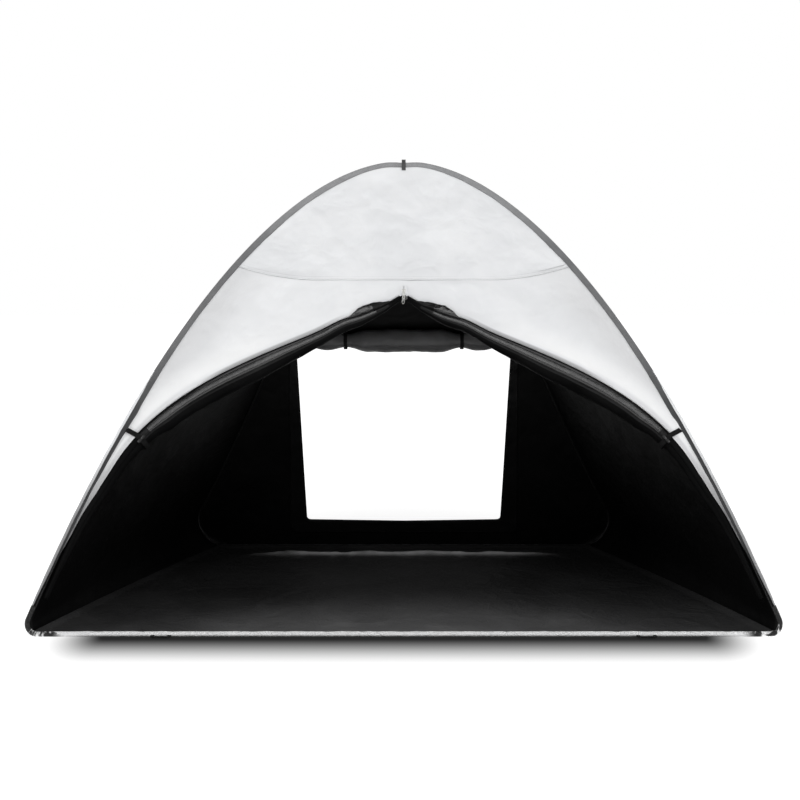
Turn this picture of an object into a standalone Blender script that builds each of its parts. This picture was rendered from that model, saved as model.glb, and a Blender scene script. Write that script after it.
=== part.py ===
"""Pop-up beach tent on two leaning spring-wire hoops, in metres, with +Z up and its door facing -Y.

Each hoop is a closed loop of wire in a cloth sleeve, bent to a tall arch with a straight foot on the
ground. The two hoops lean together and are bound at the crown, and the cloth panels between them
hold their feet apart.
"""
import math

import bmesh
import bpy
from mathutils import Vector

# Driving dimensions of the whole tent
tent_width = 2.00
tent_depth = 1.20
tent_height = 1.30
touch_gap = 0.0003

# Wire hoops and their sleeves
wire_radius = 0.002
wire_sides = 8
ferrule_wall = 0.001
ferrule_length = 0.05
wire_end_gap = touch_gap
sleeve_cloth = 0.0008
arch_sleeve_width = 0.022
foot_sleeve_width = 0.013
arch_pocket = wire_radius + touch_gap + sleeve_cloth
foot_pocket = wire_radius + touch_gap + ferrule_wall + touch_gap + sleeve_cloth
crown_clearance = 0.0005
crown_offset = arch_pocket + crown_clearance
crown_dip = 0.005
crown_dip_reach = 0.06

# Outline of the front hoop
front_corner_radius = 0.032
front_leg_lean = math.radians(17.9)
front_leg_pull = 0.950
front_crown_pull = 0.314

# Outline of the rear hoop
rear_half_width = 0.724
rear_corner_radius = 0.11
rear_leg_lean = math.radians(27)
rear_leg_pull = 0.80
rear_crown_pull = 0.25

# Panels
panel_cloth = 0.001
seam_above_zip = 0.019
seam_rise = 0.047
seam_flat_half = 0.25
opening_peak = 0.970
opening_upper_pull_shares = (0.5548, 0.7299)
opening_lower_pull_shares = (0.8041, 0.7258)
opening_foot_shares = (0.9659, 0.0701)
horn_tip_width = 0.004
side_bulge = 0.012
side_attach = 0.012
side_crown_margin = 0.012
side_settle = 0.06

# Window in the rear panel
window_foot = 0.113
window_top = 0.80
window_foot_half = 0.334
window_top_half = 0.350
window_corner_radius = 0.012
window_foot_sag = 0.006
border_foot_half = 0.395
border_top_half = 0.372
border_foot_width = 0.055
border_top_width = 0.032
border_corner_radius = 0.02

# Rolled door leaves and rolled window cover
door_roll_radius = 0.027
cover_roll_radius = 0.033
cover_roll_rise = 0.007
cover_roll_half_length = 0.30
cover_tie_place = 0.187
roll_lip_share = 0.16

# Straps
strap_cloth = 0.0012
door_tie_width = 0.014
cover_tie_width = 0.015
cover_tie_rise = 0.022
cover_tie_foot = 0.006
door_tie_height = 0.548
toggle_radius = 0.0045
toggle_length = 0.026
crown_tie_width = 0.012
crown_tie_leg = 0.024
crown_tab_height = 0.009

# Peg loops
loop_span = 0.053
loop_reach = 0.022
loop_web = 0.009
loop_cloth = 0.0016
front_loop_place = 0.637
rear_loop_place = 0.45

# Groundsheet
floor_slope_width = 0.03

# Zip slider and its pull
zip_tape_width = 0.020
zip_tape_above = 0.034
zip_tape_below = 0.003
zip_tape_cloth = 0.0008
slider_width = 0.011
slider_length = 0.014
slider_plate = 0.0012
slider_web = 0.002
slider_place = 0.018
bail_radius = 0.0024
bail_bore = 0.0011
bail_width = 0.0016
pull_bar = 0.0010
pull_width = 0.0085
pull_length = 0.026
pull_window_reach = 0.0032
pull_hole_radius = 0.0022
pull_hole_length = 0.0087

# Sampling counts and the angle above which an edge stays sharp
sharp_angle = math.radians(40)
half_turn_steps = 6
rounding_steps = 4
search_steps = 676
arch_steps = 22
corner_steps = 5
foot_steps = 4
edge_steps = 26
side_rows = 22
side_columns = 6
roll_steps = 44
roll_sides = 12


# The two leaning planes
foot_y = tent_depth / 2 - foot_pocket
crown_z = tent_height - arch_pocket
plane_rise = crown_z - foot_pocket
plane_run = foot_y - crown_offset
crown_s = math.hypot(plane_rise, plane_run)
lean = math.atan2(plane_run, plane_rise)
front = -1
rear = 1


def on_plane(side, x, s, n=0.0):
    """A point x across, s up the slope from the foot wire and n out of the front or rear plane."""
    y = side * (foot_y - s * math.sin(lean) + n * math.cos(lean))
    return Vector((x, y, foot_pocket + s * math.cos(lean) + n * math.sin(lean)))


def material(name, colour, roughness, metallic=0.0):
    made = bpy.data.materials.get(name)
    if made is None:
        made = bpy.data.materials.new(name)
        made.use_nodes = True
        shader = made.node_tree.nodes["Principled BSDF"]
        shader.inputs["Base Color"].default_value = (*colour, 1.0)
        shader.inputs["Roughness"].default_value = roughness
        shader.inputs["Metallic"].default_value = metallic
        made.diffuse_color = (*colour, 1.0)
    return made


def white_cloth():
    return material("white_cloth", (0.78, 0.79, 0.80), 0.55)


def black_cloth():
    return material("black_cloth", (0.012, 0.012, 0.013), 0.5)


def grey_webbing():
    return material("grey_webbing", (0.14, 0.14, 0.145), 0.75)


def black_webbing():
    return material("black_webbing", (0.01, 0.01, 0.01), 0.8)


def silver_cloth():
    return material("silver_cloth", (0.62, 0.63, 0.64), 0.35, 0.3)


def floor_cloth():
    return material("floor_cloth", (0.022, 0.022, 0.023), 0.4)


def spring_steel():
    return material("spring_steel", (0.35, 0.35, 0.36), 0.35, 1.0)


def bright_metal():
    return material("bright_metal", (0.62, 0.62, 0.60), 0.25, 1.0)


def black_plastic():
    return material("black_plastic", (0.02, 0.02, 0.02), 0.35)


def finish_object(name, finish, bm, smooth_angle=sharp_angle):
    """Turns a closed bmesh into a named object with its faces out and its round parts smooth."""
    bmesh.ops.recalc_face_normals(bm, faces=bm.faces[:])
    if bm.calc_volume(signed=True) < 0:
        bmesh.ops.reverse_faces(bm, faces=bm.faces[:])
    mesh = bpy.data.meshes.new(name)
    bm.to_mesh(mesh)
    bm.free()
    mesh.shade_smooth()
    mesh.set_sharp_from_angle(angle=smooth_angle)
    mesh.materials.append(finish)
    made = bpy.data.objects.new(name, mesh)
    bpy.context.scene.collection.objects.link(made)
    return made


def bezier(a, b, c, d, t):
    u = 1 - t
    return tuple(u**3 * p + 3 * u * u * t * q + 3 * u * t * t * r + t**3 * w
                 for p, q, r, w in zip(a, b, c, d))


def smooth_step(value):
    held = min(max(value, 0.0), 1.0)
    return held * held * (3 - 2 * held)


def out_normals(path, closed=False):
    """Mitred normals on the right-hand side of a path, which is outwards on an anticlockwise loop."""
    count = len(path)
    segments = []
    for i in range(count):
        x0, s0 = path[i]
        x1, s1 = path[(i + 1) % count]
        length = math.hypot(x1 - x0, s1 - s0)
        segments.append(((s1 - s0) / length, (x0 - x1) / length) if length else (0.0, 0.0))
    normals = []
    for i in range(count):
        before = segments[i - 1] if closed or i > 0 else segments[0]
        after = segments[i] if closed or i < count - 1 else segments[count - 2]
        spread = 1 + before[0] * after[0] + before[1] * after[1]
        normals.append(((before[0] + after[0]) / spread, (before[1] + after[1]) / spread))
    return normals


def offset_path(path, distance):
    return [(x + nx * distance, s + ns * distance) for (x, s), (nx, ns) in zip(path, out_normals(path))]


def mirrored(path):
    """The same path on the other half of the tent, run the other way."""
    return [(-x, s) for x, s in reversed(path)]


def hoop_half(half_width, corner_radius, leg_lean, leg_pull, crown_pull):
    """The corner and the leg of one hoop's wire, from the ground line up to the crown, at +X."""
    radius = corner_radius
    centre_x = half_width - radius
    corner = []
    for i in range(corner_steps + 1):
        turn = -math.pi / 2 + (leg_lean + math.pi / 2) * i / corner_steps
        corner.append((centre_x + radius * math.cos(turn), radius + radius * math.sin(turn)))
    start = corner[-1]
    pull = (start[0] - leg_pull * math.sin(leg_lean), start[1] + leg_pull * math.cos(leg_lean))
    leg = []
    for i in range(arch_steps + 1):
        x, s = bezier(start, pull, (crown_pull, crown_s), (0.0, crown_s), i / arch_steps)
        leg.append((x, s - crown_dip * smooth_step(1 - abs(x) / crown_dip_reach)))
    return corner, leg


front_wire_half = tent_width / 2 - foot_pocket
front_corner, front_leg = hoop_half(
    front_wire_half, front_corner_radius, front_leg_lean, front_leg_pull, front_crown_pull
)
rear_corner, rear_leg = hoop_half(
    rear_half_width, rear_corner_radius, rear_leg_lean, rear_leg_pull, rear_crown_pull
)


def arch_path(leg):
    return leg + mirrored(leg)[1:]


def foot_path(corner, leg):
    """From the left leg's foot, round both corners and along the ground to the right leg's foot."""
    inner = corner[0][0]
    straight = [(inner * (2 * i / foot_steps - 1), 0.0) for i in range(1, foot_steps)]
    return mirrored(corner) + straight + corner


def wire_path(corner, leg):
    """The whole loop of wire, from one side of the splice round to the other."""
    end = wire_end_gap / 2
    ferrule_end = ferrule_length / 2
    right = [(end, 0.0), (ferrule_end, 0.0), (corner[0][0] / 2, 0.0)] + corner + leg[1:]
    return right + mirrored(right)[1:]


def sweep(name, finish, path, outer, inner, place, lead=None):
    """Sweeps a section along a path. outer(i) and inner(i) give points (out, n) at each path point.

    lead is a pair of points before and after the path, where its end faces are mitred to a neighbour.
    """
    normals = out_normals([lead[0]] + path + [lead[1]])[1:-1] if lead else out_normals(path)
    bm = bmesh.new()
    rings = []
    for i, ((x, s), (nx, ns)) in enumerate(zip(path, normals)):
        loops = [outer(i)] + ([inner(i)] if inner else [])
        rings.append([[bm.verts.new(place(x + a * nx, s + a * ns, n)) for a, n in loop] for loop in loops])
    for before, after in zip(rings, rings[1:]):
        for low, high in zip(before, after):
            count = len(low)
            for k in range(count):
                bm.faces.new((low[k], low[(k + 1) % count], high[(k + 1) % count], high[k]))
    for ring in (rings[0], rings[-1]):
        if inner:
            count = len(ring[0])
            for k in range(count):
                bm.faces.new((ring[0][k], ring[0][(k + 1) % count], ring[1][(k + 1) % count], ring[1][k]))
        else:
            bm.faces.new(ring[0])
    return finish_object(name, finish, bm)


def circle(radius, sides=wire_sides):
    return [(radius * math.cos(2 * math.pi * k / sides), radius * math.sin(2 * math.pi * k / sides))
            for k in range(sides)]


def pocket_section(radius, width, half_tail):
    """A folded sleeve: a round pocket for the wire that tapers to a flat tail on its inner side."""
    front_half = [(radius * math.cos(turn), radius * math.sin(turn))
                  for turn in (math.pi / 2 - k * math.pi / 4 for k in range(5))]
    tail = radius - width
    return front_half + [(tail, -half_tail), (tail, half_tail)]


def sleeve(name, finish, path, pocket, width, side, lead):
    outer = pocket_section(pocket, width, sleeve_cloth + touch_gap / 2)
    inner = pocket_section(pocket - sleeve_cloth, width - 2 * sleeve_cloth, touch_gap / 2)
    return sweep(name, finish, path, lambda i: outer, lambda i: inner,
                 lambda x, s, n: on_plane(side, x, s, n), lead)


def trimmed(path, distance):
    """The path with its two end points drawn in by a distance, so that its ends clear a neighbour."""
    def drawn_in(end, following):
        length = math.hypot(following[0] - end[0], following[1] - end[1])
        share = distance / length
        return (end[0] + (following[0] - end[0]) * share, end[1] + (following[1] - end[1]) * share)
    return [drawn_in(path[0], path[1])] + path[1:-1] + [drawn_in(path[-1], path[-2])]


def hoop(label, side, corner, leg):
    """One hoop: its wire, the ferrule that joins the wire's ends, and its two lengths of sleeve."""
    def place(x, s, n):
        return on_plane(side, x, s, n)
    wire = circle(wire_radius)
    bore = circle(wire_radius + touch_gap)
    tube = circle(wire_radius + touch_gap + ferrule_wall)
    half = ferrule_length / 2
    made = [sweep(label + "_hoop_wire", spring_steel(), wire_path(corner, leg), lambda i: wire, None, place)]
    made.append(sweep(label + "_wire_ferrule", bright_metal(), [(-half, 0.0), (0.0, 0.0), (half, 0.0)],
                      lambda i: tube, lambda i: bore, place))
    arch = trimmed(arch_path(leg), touch_gap)
    below, above = corner[-2], leg[1]
    made.append(sleeve(label + "_arch_sleeve", grey_webbing(), arch, arch_pocket, arch_sleeve_width, side,
                       (below, (-below[0], below[1]))))
    foot_finish = silver_cloth() if side == front else black_cloth()
    made.append(sleeve(label + "_foot_sleeve", foot_finish, foot_path(corner, leg), foot_pocket,
                       foot_sleeve_width, side, ((-above[0], above[1]), above)))
    return made


def flat_piece(name, finish, outline, holes, low, high, place, smooth_angle=sharp_angle):
    """A plate between heights low and high, from an outline and any holes, set in place by a function."""
    bm = bmesh.new()
    for loop in [outline] + holes:
        verts = [bm.verts.new((x, s, low)) for x, s in loop]
        for k, vert in enumerate(verts):
            bm.edges.new((vert, verts[(k + 1) % len(verts)]))
    bmesh.ops.triangle_fill(bm, use_beauty=True, use_dissolve=False, edges=bm.edges[:], normal=(0, 0, 1))
    raised = bmesh.ops.extrude_face_region(bm, geom=bm.faces[:], use_keep_orig=True)
    top = [item for item in raised["geom"] if isinstance(item, bmesh.types.BMVert)]
    bmesh.ops.translate(bm, verts=top, vec=(0, 0, high - low))
    for vert in bm.verts:
        vert.co = place(*vert.co)
    return finish_object(name, finish, bm, smooth_angle)


# Front panels
sleeve_inner = arch_sleeve_width - arch_pocket + touch_gap
seam_height = opening_peak + zip_tape_above + seam_above_zip
zip_slot_half = slider_width / 2 + touch_gap
zip_slot_top = slider_place + slider_length / 2 + touch_gap


def front_sleeve_edge():
    """The line just inside the front sleeve, from the right leg's foot over the crown to the left."""
    return offset_path(arch_path(front_leg), -sleeve_inner)


def in_opening(shares):
    """A point of the opening's outline, as shares of the hoop's half width and of the peak's height."""
    return front_wire_half * shares[0], opening_peak * shares[1]


def opening_point(t):
    return bezier((0.0, opening_peak), in_opening(opening_upper_pull_shares),
                  in_opening(opening_lower_pull_shares), in_opening(opening_foot_shares), t)


def at_height(path, s):
    """Where a rising path reaches a height, as (x, share of the way along its step, index)."""
    for i in range(len(path) - 1):
        low, high = path[i][1], path[i + 1][1]
        if low <= s <= high:
            share = (s - low) / (high - low)
            return path[i][0] + (path[i + 1][0] - path[i][0]) * share, share, i
    raise ValueError("the path never reaches that height")


def seam_point(x):
    rise_share = max(abs(x) - seam_flat_half, 0.0) / seam_flat_half
    return x, seam_height + seam_rise * rise_share * rise_share


def rising_half(path):
    return path[:len(path) // 2 + 1]


def horn_share():
    """How far down the opening's edge the white panel's horn runs before the sleeve meets it."""
    edge = rising_half(front_sleeve_edge())
    last = 0.0
    for k in range(1, search_steps + 1):
        t = k / search_steps
        x, s = opening_point(t)
        if s < edge[0][1] or at_height(edge, s)[0] - x < horn_tip_width:
            break
        last = t
    return last


def seam_end():
    """The point where the seam runs into the sleeve, at +X."""
    edge = rising_half(front_sleeve_edge())
    for x, s in edge:
        if s > seam_point(x)[1]:
            low = edge[edge.index((x, s)) - 1]
            gain_high = s - seam_point(x)[1]
            gain_low = seam_point(low[0])[1] - low[1]
            share = gain_low / (gain_low + gain_high)
            return low[0] + (x - low[0]) * share, low[1] + (s - low[1]) * share
    raise ValueError("the seam never reaches the sleeve")


def seam_path(drop):
    """The seam from right to left, moved down by drop to clear the panel on its other side."""
    end = seam_end()[0]
    points = [seam_point(end * (1 - 2 * k / edge_steps)) for k in range(edge_steps + 1)]
    return [(x, s - drop) for x, s in points]


def upper_front_panel():
    edge = front_sleeve_edge()
    end_s = seam_end()[1]
    crown = [(x, s) for x, s in edge if s > end_s + touch_gap]
    outline = [seam_end()] + crown + [(-seam_end()[0], end_s)]
    lower = [(-x, s) for x, s in seam_path(0.0)[1:-1]]
    return flat_piece("front_panel_upper", white_cloth(), outline + lower, [], -panel_cloth / 2,
                      panel_cloth / 2, lambda x, s, n: on_plane(front, x, s, n))


def opening_edge(end_x):
    """The opening's edge at +X, from the horn's tip up to a place just short of the zip."""
    tip = horn_share()
    below = [opening_point(tip * k / edge_steps) for k in range(edge_steps, 0, -1)]
    end_s = below[-1][1] + (opening_peak - below[-1][1]) * (1 - end_x / below[-1][0])
    return below + [(end_x, end_s)]


def lower_front_panel():
    opening = opening_edge(zip_slot_half) + [(zip_slot_half, opening_peak + zip_slot_top)]
    opening += mirrored(opening)
    foot_s = opening[0][1]
    edge = rising_half(front_sleeve_edge())
    end = seam_end()
    leg = [(at_height(edge, foot_s)[0], foot_s)]
    leg += [(x, s) for x, s in edge if foot_s < s < end[1] - touch_gap]
    outer = leg + seam_path(touch_gap) + mirrored(leg)
    return flat_piece("front_panel_lower", white_cloth(), opening + outer[::-1], [], -panel_cloth / 2,
                      panel_cloth / 2, lambda x, s, n: on_plane(front, x, s, n))


# Binding on the opening's edge
binding_width = 0.007
binding_cloth = 0.0006


def opening_binding(name, hand):
    """A tape folded over the panel's edge: a channel section with the panel's edge inside it."""
    edge = opening_edge(zip_tape_width / 2 + touch_gap)
    path = edge if hand > 0 else mirrored(edge)
    slot = panel_cloth / 2 + touch_gap
    skin = slot + binding_cloth
    lip = touch_gap + binding_cloth

    def section(i):
        x, s = path[i]
        room = at_height(rising_half(front_sleeve_edge()), s)[0] - abs(x) - touch_gap
        reach = min(binding_width, room)
        return [(-lip, -skin), (reach, -skin), (reach, -slot), (-touch_gap, -slot),
                (-touch_gap, slot), (reach, slot), (reach, skin), (-lip, skin)]
    return sweep(name, black_webbing(), path, section, None,
                 lambda x, s, n: on_plane(front, x, s, n))


# Side panels
tail_half = sleeve_cloth + touch_gap / 2
rim_s = foot_sleeve_width - foot_pocket
arch_taper = (arch_pocket - tail_half) / (arch_sleeve_width - arch_pocket)
foot_taper = (foot_pocket - tail_half) / rim_s
side_behind = arch_pocket - arch_taper * side_attach + touch_gap + panel_cloth / 2
rim_behind = foot_pocket + touch_gap + panel_cloth / 2
side_foot = rim_s + touch_gap + panel_cloth


def hoop_line(corner, leg, s):
    """The point at height s on a hoop's line of attachment for the side panels, at +X."""
    rising = corner + leg[1:]
    crest = max(range(len(rising)), key=lambda i: rising[i][1])
    x, share, i = at_height(rising[:crest + 1], s)
    normals = out_normals(rising)
    nx = normals[i][0] + (normals[i + 1][0] - normals[i][0]) * share
    ns = normals[i][1] + (normals[i + 1][1] - normals[i][1]) * share
    return x - side_attach * nx, s - side_attach * max(ns, 0.0)


def side_row(s):
    """A level line across the side panel at +X, from the front hoop to the rear one.

    It clears the thick foot sleeves at the ground and lies against the thinner arch sleeves above them.
    """
    behind = side_behind + (rim_behind - side_behind) * (1 - smooth_step((s - side_foot) / side_settle))
    start = on_plane(front, *hoop_line(front_corner, front_leg, s), -behind)
    end = on_plane(rear, *hoop_line(rear_corner, rear_leg, s), -behind)
    swell = side_bulge * (end - start).length / tent_depth
    row = []
    for c in range(side_columns + 1):
        share = c / side_columns
        point = start.lerp(end, share)
        point.x += swell * 4 * share * (1 - share)
        row.append(point)
    return row


def side_panel(name, hand):
    """Cloth stretched from the front hoop to the rear one, as wide as the hoops are apart."""
    top_s = crown_s - side_crown_margin
    bm = bmesh.new()
    rows = []
    for r in range(side_rows + 1):
        s = side_foot + (top_s - side_foot) * math.sin(math.pi / 2 * r / side_rows)
        rows.append([bm.verts.new((hand * point.x, point.y, point.z)) for point in side_row(s)])
    for low, high in zip(rows, rows[1:]):
        for c in range(side_columns):
            bm.faces.new((low[c], low[c + 1], high[c + 1], high[c]))
    made = finish_object(name, white_cloth(), bm)
    wall = made.modifiers.new("cloth thickness", "SOLIDIFY")
    wall.thickness = panel_cloth
    wall.offset = 0.0
    return made


# Groundsheet
floor_ring_shares = [(0.0, 1.0), (0.35, 0.30), (1.0, 0.0)]
floor_edge_steps = 10


def groundsheet():
    """The floor: flat on the ground, with a rim that slopes up to the seam on every side."""
    right = side_row(side_foot)
    rim_z = right[0].z - touch_gap - panel_cloth
    rim_rise = rim_z + panel_cloth - foot_pocket
    reach = foot_pocket + touch_gap + rim_rise * (math.sin(lean) - foot_taper * math.cos(lean))
    rear_y = foot_y - reach / (math.cos(lean) + foot_taper * math.sin(lean))
    front_y = -rear_y
    front_x, rear_x = front_corner[0][0], rear_corner[0][0]
    rim = [(front_x * (2 * k / floor_edge_steps - 1), front_y) for k in range(floor_edge_steps + 1)]
    rim += [(point.x, point.y) for point in right]
    rim += [(rear_x * (1 - 2 * k / floor_edge_steps), rear_y) for k in range(floor_edge_steps + 1)]
    rim += [(-point.x, point.y) for point in right[::-1]]
    normals = out_normals(rim, closed=True)
    bm = bmesh.new()
    layers = []
    for lift in (0.0, panel_cloth):
        rings = []
        for inward_share, rise_share in floor_ring_shares:
            inward = floor_slope_width * inward_share
            rings.append([bm.verts.new((x - nx * inward, y - ny * inward, rim_z * rise_share + lift))
                          for (x, y), (nx, ny) in zip(rim, normals)])
        layers.append(rings)
    count = len(rim)
    for rings in layers:
        for outer, inner in zip(rings, rings[1:]):
            for k in range(count):
                bm.faces.new((outer[k], outer[(k + 1) % count], inner[(k + 1) % count], inner[k]))
        bm.faces.new(rings[-1])
    under, over = layers[0][0], layers[1][0]
    for k in range(count):
        bm.faces.new((under[k], under[(k + 1) % count], over[(k + 1) % count], over[k]))
    return finish_object("groundsheet", floor_cloth(), bm)


# Rear panel, window and its frame
def rounded(points, radius, steps=rounding_steps):
    """A closed outline with each corner turned into an arc."""
    result = []
    count = len(points)
    for i in range(count):
        corner = Vector(points[i])
        before = (Vector(points[i - 1]) - corner).normalized()
        after = (Vector(points[(i + 1) % count]) - corner).normalized()
        half_angle = before.angle(after) / 2
        centre = corner + (before + after).normalized() * (radius / math.sin(half_angle))
        start = corner + before * (radius / math.tan(half_angle)) - centre
        end = corner + after * (radius / math.tan(half_angle)) - centre
        for k in range(steps + 1):
            arm = start.normalized().slerp(end.normalized(), k / steps) * radius
            result.append(tuple(centre + arm))
    return result


def window_outline():
    middle = window_foot - window_foot_sag
    corners = [(-window_foot_half, window_foot), (0.0, middle), (window_foot_half, window_foot),
               (window_top_half, window_top), (-window_top_half, window_top)]
    return rounded(corners, window_corner_radius)


def rear_panel():
    inner = -sleeve_inner
    arch = offset_path(arch_path(rear_leg), inner)
    foot_inner = foot_sleeve_width - foot_pocket + touch_gap
    foot = offset_path(foot_path(rear_corner, rear_leg), -foot_inner)
    outline = arch + foot[1:-1]
    return flat_piece("rear_panel", white_cloth(), outline, [window_outline()], -panel_cloth / 2,
                      panel_cloth / 2, lambda x, s, n: on_plane(rear, x, s, n))


border_back = panel_cloth / 2 + touch_gap


def window_border():
    """The doubled hem round the window, on the panel's inner face."""
    foot, top = window_foot - border_foot_width, window_top + border_top_width
    outline = rounded([(-border_foot_half, foot), (border_foot_half, foot), (border_top_half, top),
                       (-border_top_half, top)], border_corner_radius)
    return flat_piece("window_border", black_cloth(), outline, [window_outline()],
                      -border_back - panel_cloth, -border_back,
                      lambda x, s, n: on_plane(rear, x, s, n))


# Rolled cloth
tie_bend_steps = 14
window_tie_last_turn = math.radians(235)


def scroll_section(radius, sides=roll_sides):
    """The end of a roll of cloth: its radius shrinks over one turn, which leaves the free edge's lip."""
    return [(radius * (1 - roll_lip_share * k / (sides - 1)) * math.cos(2 * math.pi * k / sides),
             radius * (1 - roll_lip_share * k / (sides - 1)) * math.sin(2 * math.pi * k / sides))
            for k in range(sides)]


def between(shares, place_share):
    """Reads a table of (place share, size share) pairs with smooth steps between them."""
    for (p0, v0), (p1, v1) in zip(shares, shares[1:]):
        if place_share <= p1:
            return v0 + (v1 - v0) * smooth_step((place_share - p0) / (p1 - p0))
    return shares[-1][1]


cover_end_share = 0.55
cover_lobe_share = 0.23
cover_pinch_share = 0.66
cover_swell_share = 0.20
cover_lobe_steps = 7
cover_middle_steps = 9
cover_roll_place = window_top + cover_roll_rise
cover_face = border_back + panel_cloth
cover_roll_back = cover_face + touch_gap + max(n for a, n in scroll_section(cover_roll_radius))
tie_inner = cover_tie_place - cover_tie_width / 2 - touch_gap
tie_outer = cover_tie_place + cover_tie_width / 2 + touch_gap


def cover_radius(x):
    """The rolled cover's radius: a lobe beyond each tie, a pinch under it and a full roll between."""
    if abs(x) > tie_outer:
        side_share = (cover_roll_half_length - abs(x)) / (cover_roll_half_length - tie_outer)
        lobe = cover_lobe_share * math.sin(math.pi * side_share)
        taper = (cover_pinch_share - cover_end_share) * side_share
        return cover_roll_radius * (cover_end_share + lobe + taper)
    swell = smooth_step((tie_inner - abs(x)) / cover_roll_half_length / cover_swell_share)
    return cover_roll_radius * (cover_pinch_share + (1 - cover_pinch_share) * swell)


def cover_stations():
    """Places along the roll from its right end to its left end, with both edges of each tie among them."""
    lobe = [cover_roll_half_length + (tie_outer - cover_roll_half_length) * k / cover_lobe_steps
            for k in range(cover_lobe_steps + 1)]
    middle = [tie_inner * (1 - k / cover_middle_steps) for k in range(cover_middle_steps)]
    return lobe + middle + [0.0] + [-x for x in middle[::-1]] + [-x for x in lobe[::-1]]


def window_cover_roll():
    path = [(x, cover_roll_place) for x in cover_stations()]

    def section(i):
        return [(a, n - cover_roll_back) for a, n in scroll_section(cover_radius(path[i][0]))]
    return sweep("window_cover_roll", black_cloth(), path, section, None,
                 lambda x, s, n: on_plane(rear, x, s, n))


def strap_section(width):
    half, edge = strap_cloth / 2, width / 2
    return [(-half, -edge), (half, -edge), (half, edge), (-half, edge)]


def window_tie(name, hand):
    """A webbing loop: sewn flat to the border above the roll, over it, round below and up behind."""
    clear_of_facets = math.cos(math.pi / tie_bend_steps / 2)
    reach = (cover_radius(cover_tie_place) + touch_gap) / clear_of_facets + strap_cloth / 2
    seat = cover_roll_back - cover_face - touch_gap - strap_cloth / 2
    away = math.hypot(cover_tie_rise, seat)
    first_turn = math.acos(reach / away) - math.atan2(seat, cover_tie_rise)
    path = [(cover_tie_rise + cover_tie_foot, -seat), (cover_tie_rise, -seat)]
    for k in range(tie_bend_steps + 1):
        turn = first_turn + (window_tie_last_turn - first_turn) * k / tie_bend_steps
        path.append((reach * math.cos(turn), reach * math.sin(turn)))
    section = strap_section(cover_tie_width)

    def place(up, inward, along):
        x = hand * cover_tie_place + along
        return on_plane(rear, x, cover_roll_place + up, -cover_roll_back - inward)
    return sweep(name, black_webbing(), path, lambda i: section, None, place)


upper_roll_shares = [(0.0, 0.34), (0.16, 0.55), (0.52, 1.0), (0.86, 0.92), (0.96, 0.70), (1.0, 0.70)]
lower_roll_shares = [(0.0, 0.70), (0.07, 0.70), (0.3, 0.80), (1.0, 0.42)]
door_roll_start_share = 0.035
door_roll_end_share = 0.985
side_tilt_share = 0.85
tie_search_shares = (0.5, 1.0)
tie_search_steps = 40


def tie_share():
    """How far down the opening's edge the tie crosses it."""
    low, high = tie_search_shares
    for _ in range(tie_search_steps):
        middle = (low + high) / 2
        low, high = (middle, high) if opening_point(middle)[1] > door_tie_height else (low, middle)
    return low


def door_roll_radius_at(t):
    """The roll's radius: it swells below the peak, is pinched by the tie and tapers to the foot."""
    tie = tie_share()
    if t < tie:
        return door_roll_radius * between(upper_roll_shares, t / tie)
    return door_roll_radius * between(lower_roll_shares, (t - tie) / (1 - tie))


def side_panel_x(point):
    """How far across the side panel at +X stands, level with a point and as far back."""
    row = side_row((point.z - foot_pocket) / math.cos(lean))
    for before, after in zip(row, row[1:]):
        if before.y <= point.y <= after.y:
            return before.x + (after.x - before.x) * (point.y - before.y) / (after.y - before.y)
    return row[0].x


def roll_middle(t):
    """The middle of the right-hand roll at a share t of the opening's edge, as (x, s, n, radius)."""
    radius = door_roll_radius_at(t)
    (x, s), (next_x, next_s) = opening_point(t), opening_point(t + 1 / search_steps)
    length = math.hypot(next_x - x, next_s - s)
    sleeve_edge = rising_half(front_sleeve_edge())
    sleeve_x = at_height(sleeve_edge, s)[0] if s > sleeve_edge[0][1] else sleeve_edge[0][0]
    across = min(x, sleeve_x) + radius * (next_s - s) / length
    up = s - radius * (next_x - x) / length
    depth = panel_cloth / 2 + touch_gap + binding_cloth + touch_gap + radius
    room = (radius + touch_gap + panel_cloth) / side_tilt_share
    return min(across, side_panel_x(on_plane(front, across, up, -depth)) - room), up, -depth, radius


def door_roll_line():
    """The middle line of the right-hand roll, from the peak to the foot."""
    span = door_roll_end_share - door_roll_start_share
    return [roll_middle(door_roll_start_share + span * k / roll_steps) for k in range(roll_steps + 1)]


def door_roll(name, hand):
    line = door_roll_line()
    if hand < 0:
        line = [(-x, s, n, radius) for x, s, n, radius in reversed(line)]
    path = [(x, s) for x, s, n, radius in line]

    def section(i):
        return [(a, n + line[i][2]) for a, n in scroll_section(line[i][3])]
    return sweep(name, black_cloth(), path, section, None, lambda x, s, n: on_plane(front, x, s, n))


# Door ties and toggles
skin_depth = panel_cloth / 2 + touch_gap + binding_cloth
binding_lip = touch_gap + binding_cloth
tie_reading_share = 0.01
tie_first_turn = math.radians(80)
tie_last_turn = math.radians(330)


def tie_frame():
    """The opening's edge at the tie's height: its share t, its point, and the roll's way down there."""
    t = tie_share()
    before, beyond = roll_middle(t - tie_reading_share), roll_middle(t + tie_reading_share)
    length = math.hypot(beyond[0] - before[0], beyond[1] - before[1])
    return t, opening_point(t), ((beyond[0] - before[0]) / length, (beyond[1] - before[1]) / length)


def tie_place(hand):
    """Places points by their way into the opening, out of the plane and along the opening's edge."""
    t, (x0, s0), (ax, down) = tie_frame()

    def place(inward, n, along):
        return on_plane(front, hand * (x0 + inward * down + along * ax), s0 - inward * ax + along * down, n)
    return place


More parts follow.
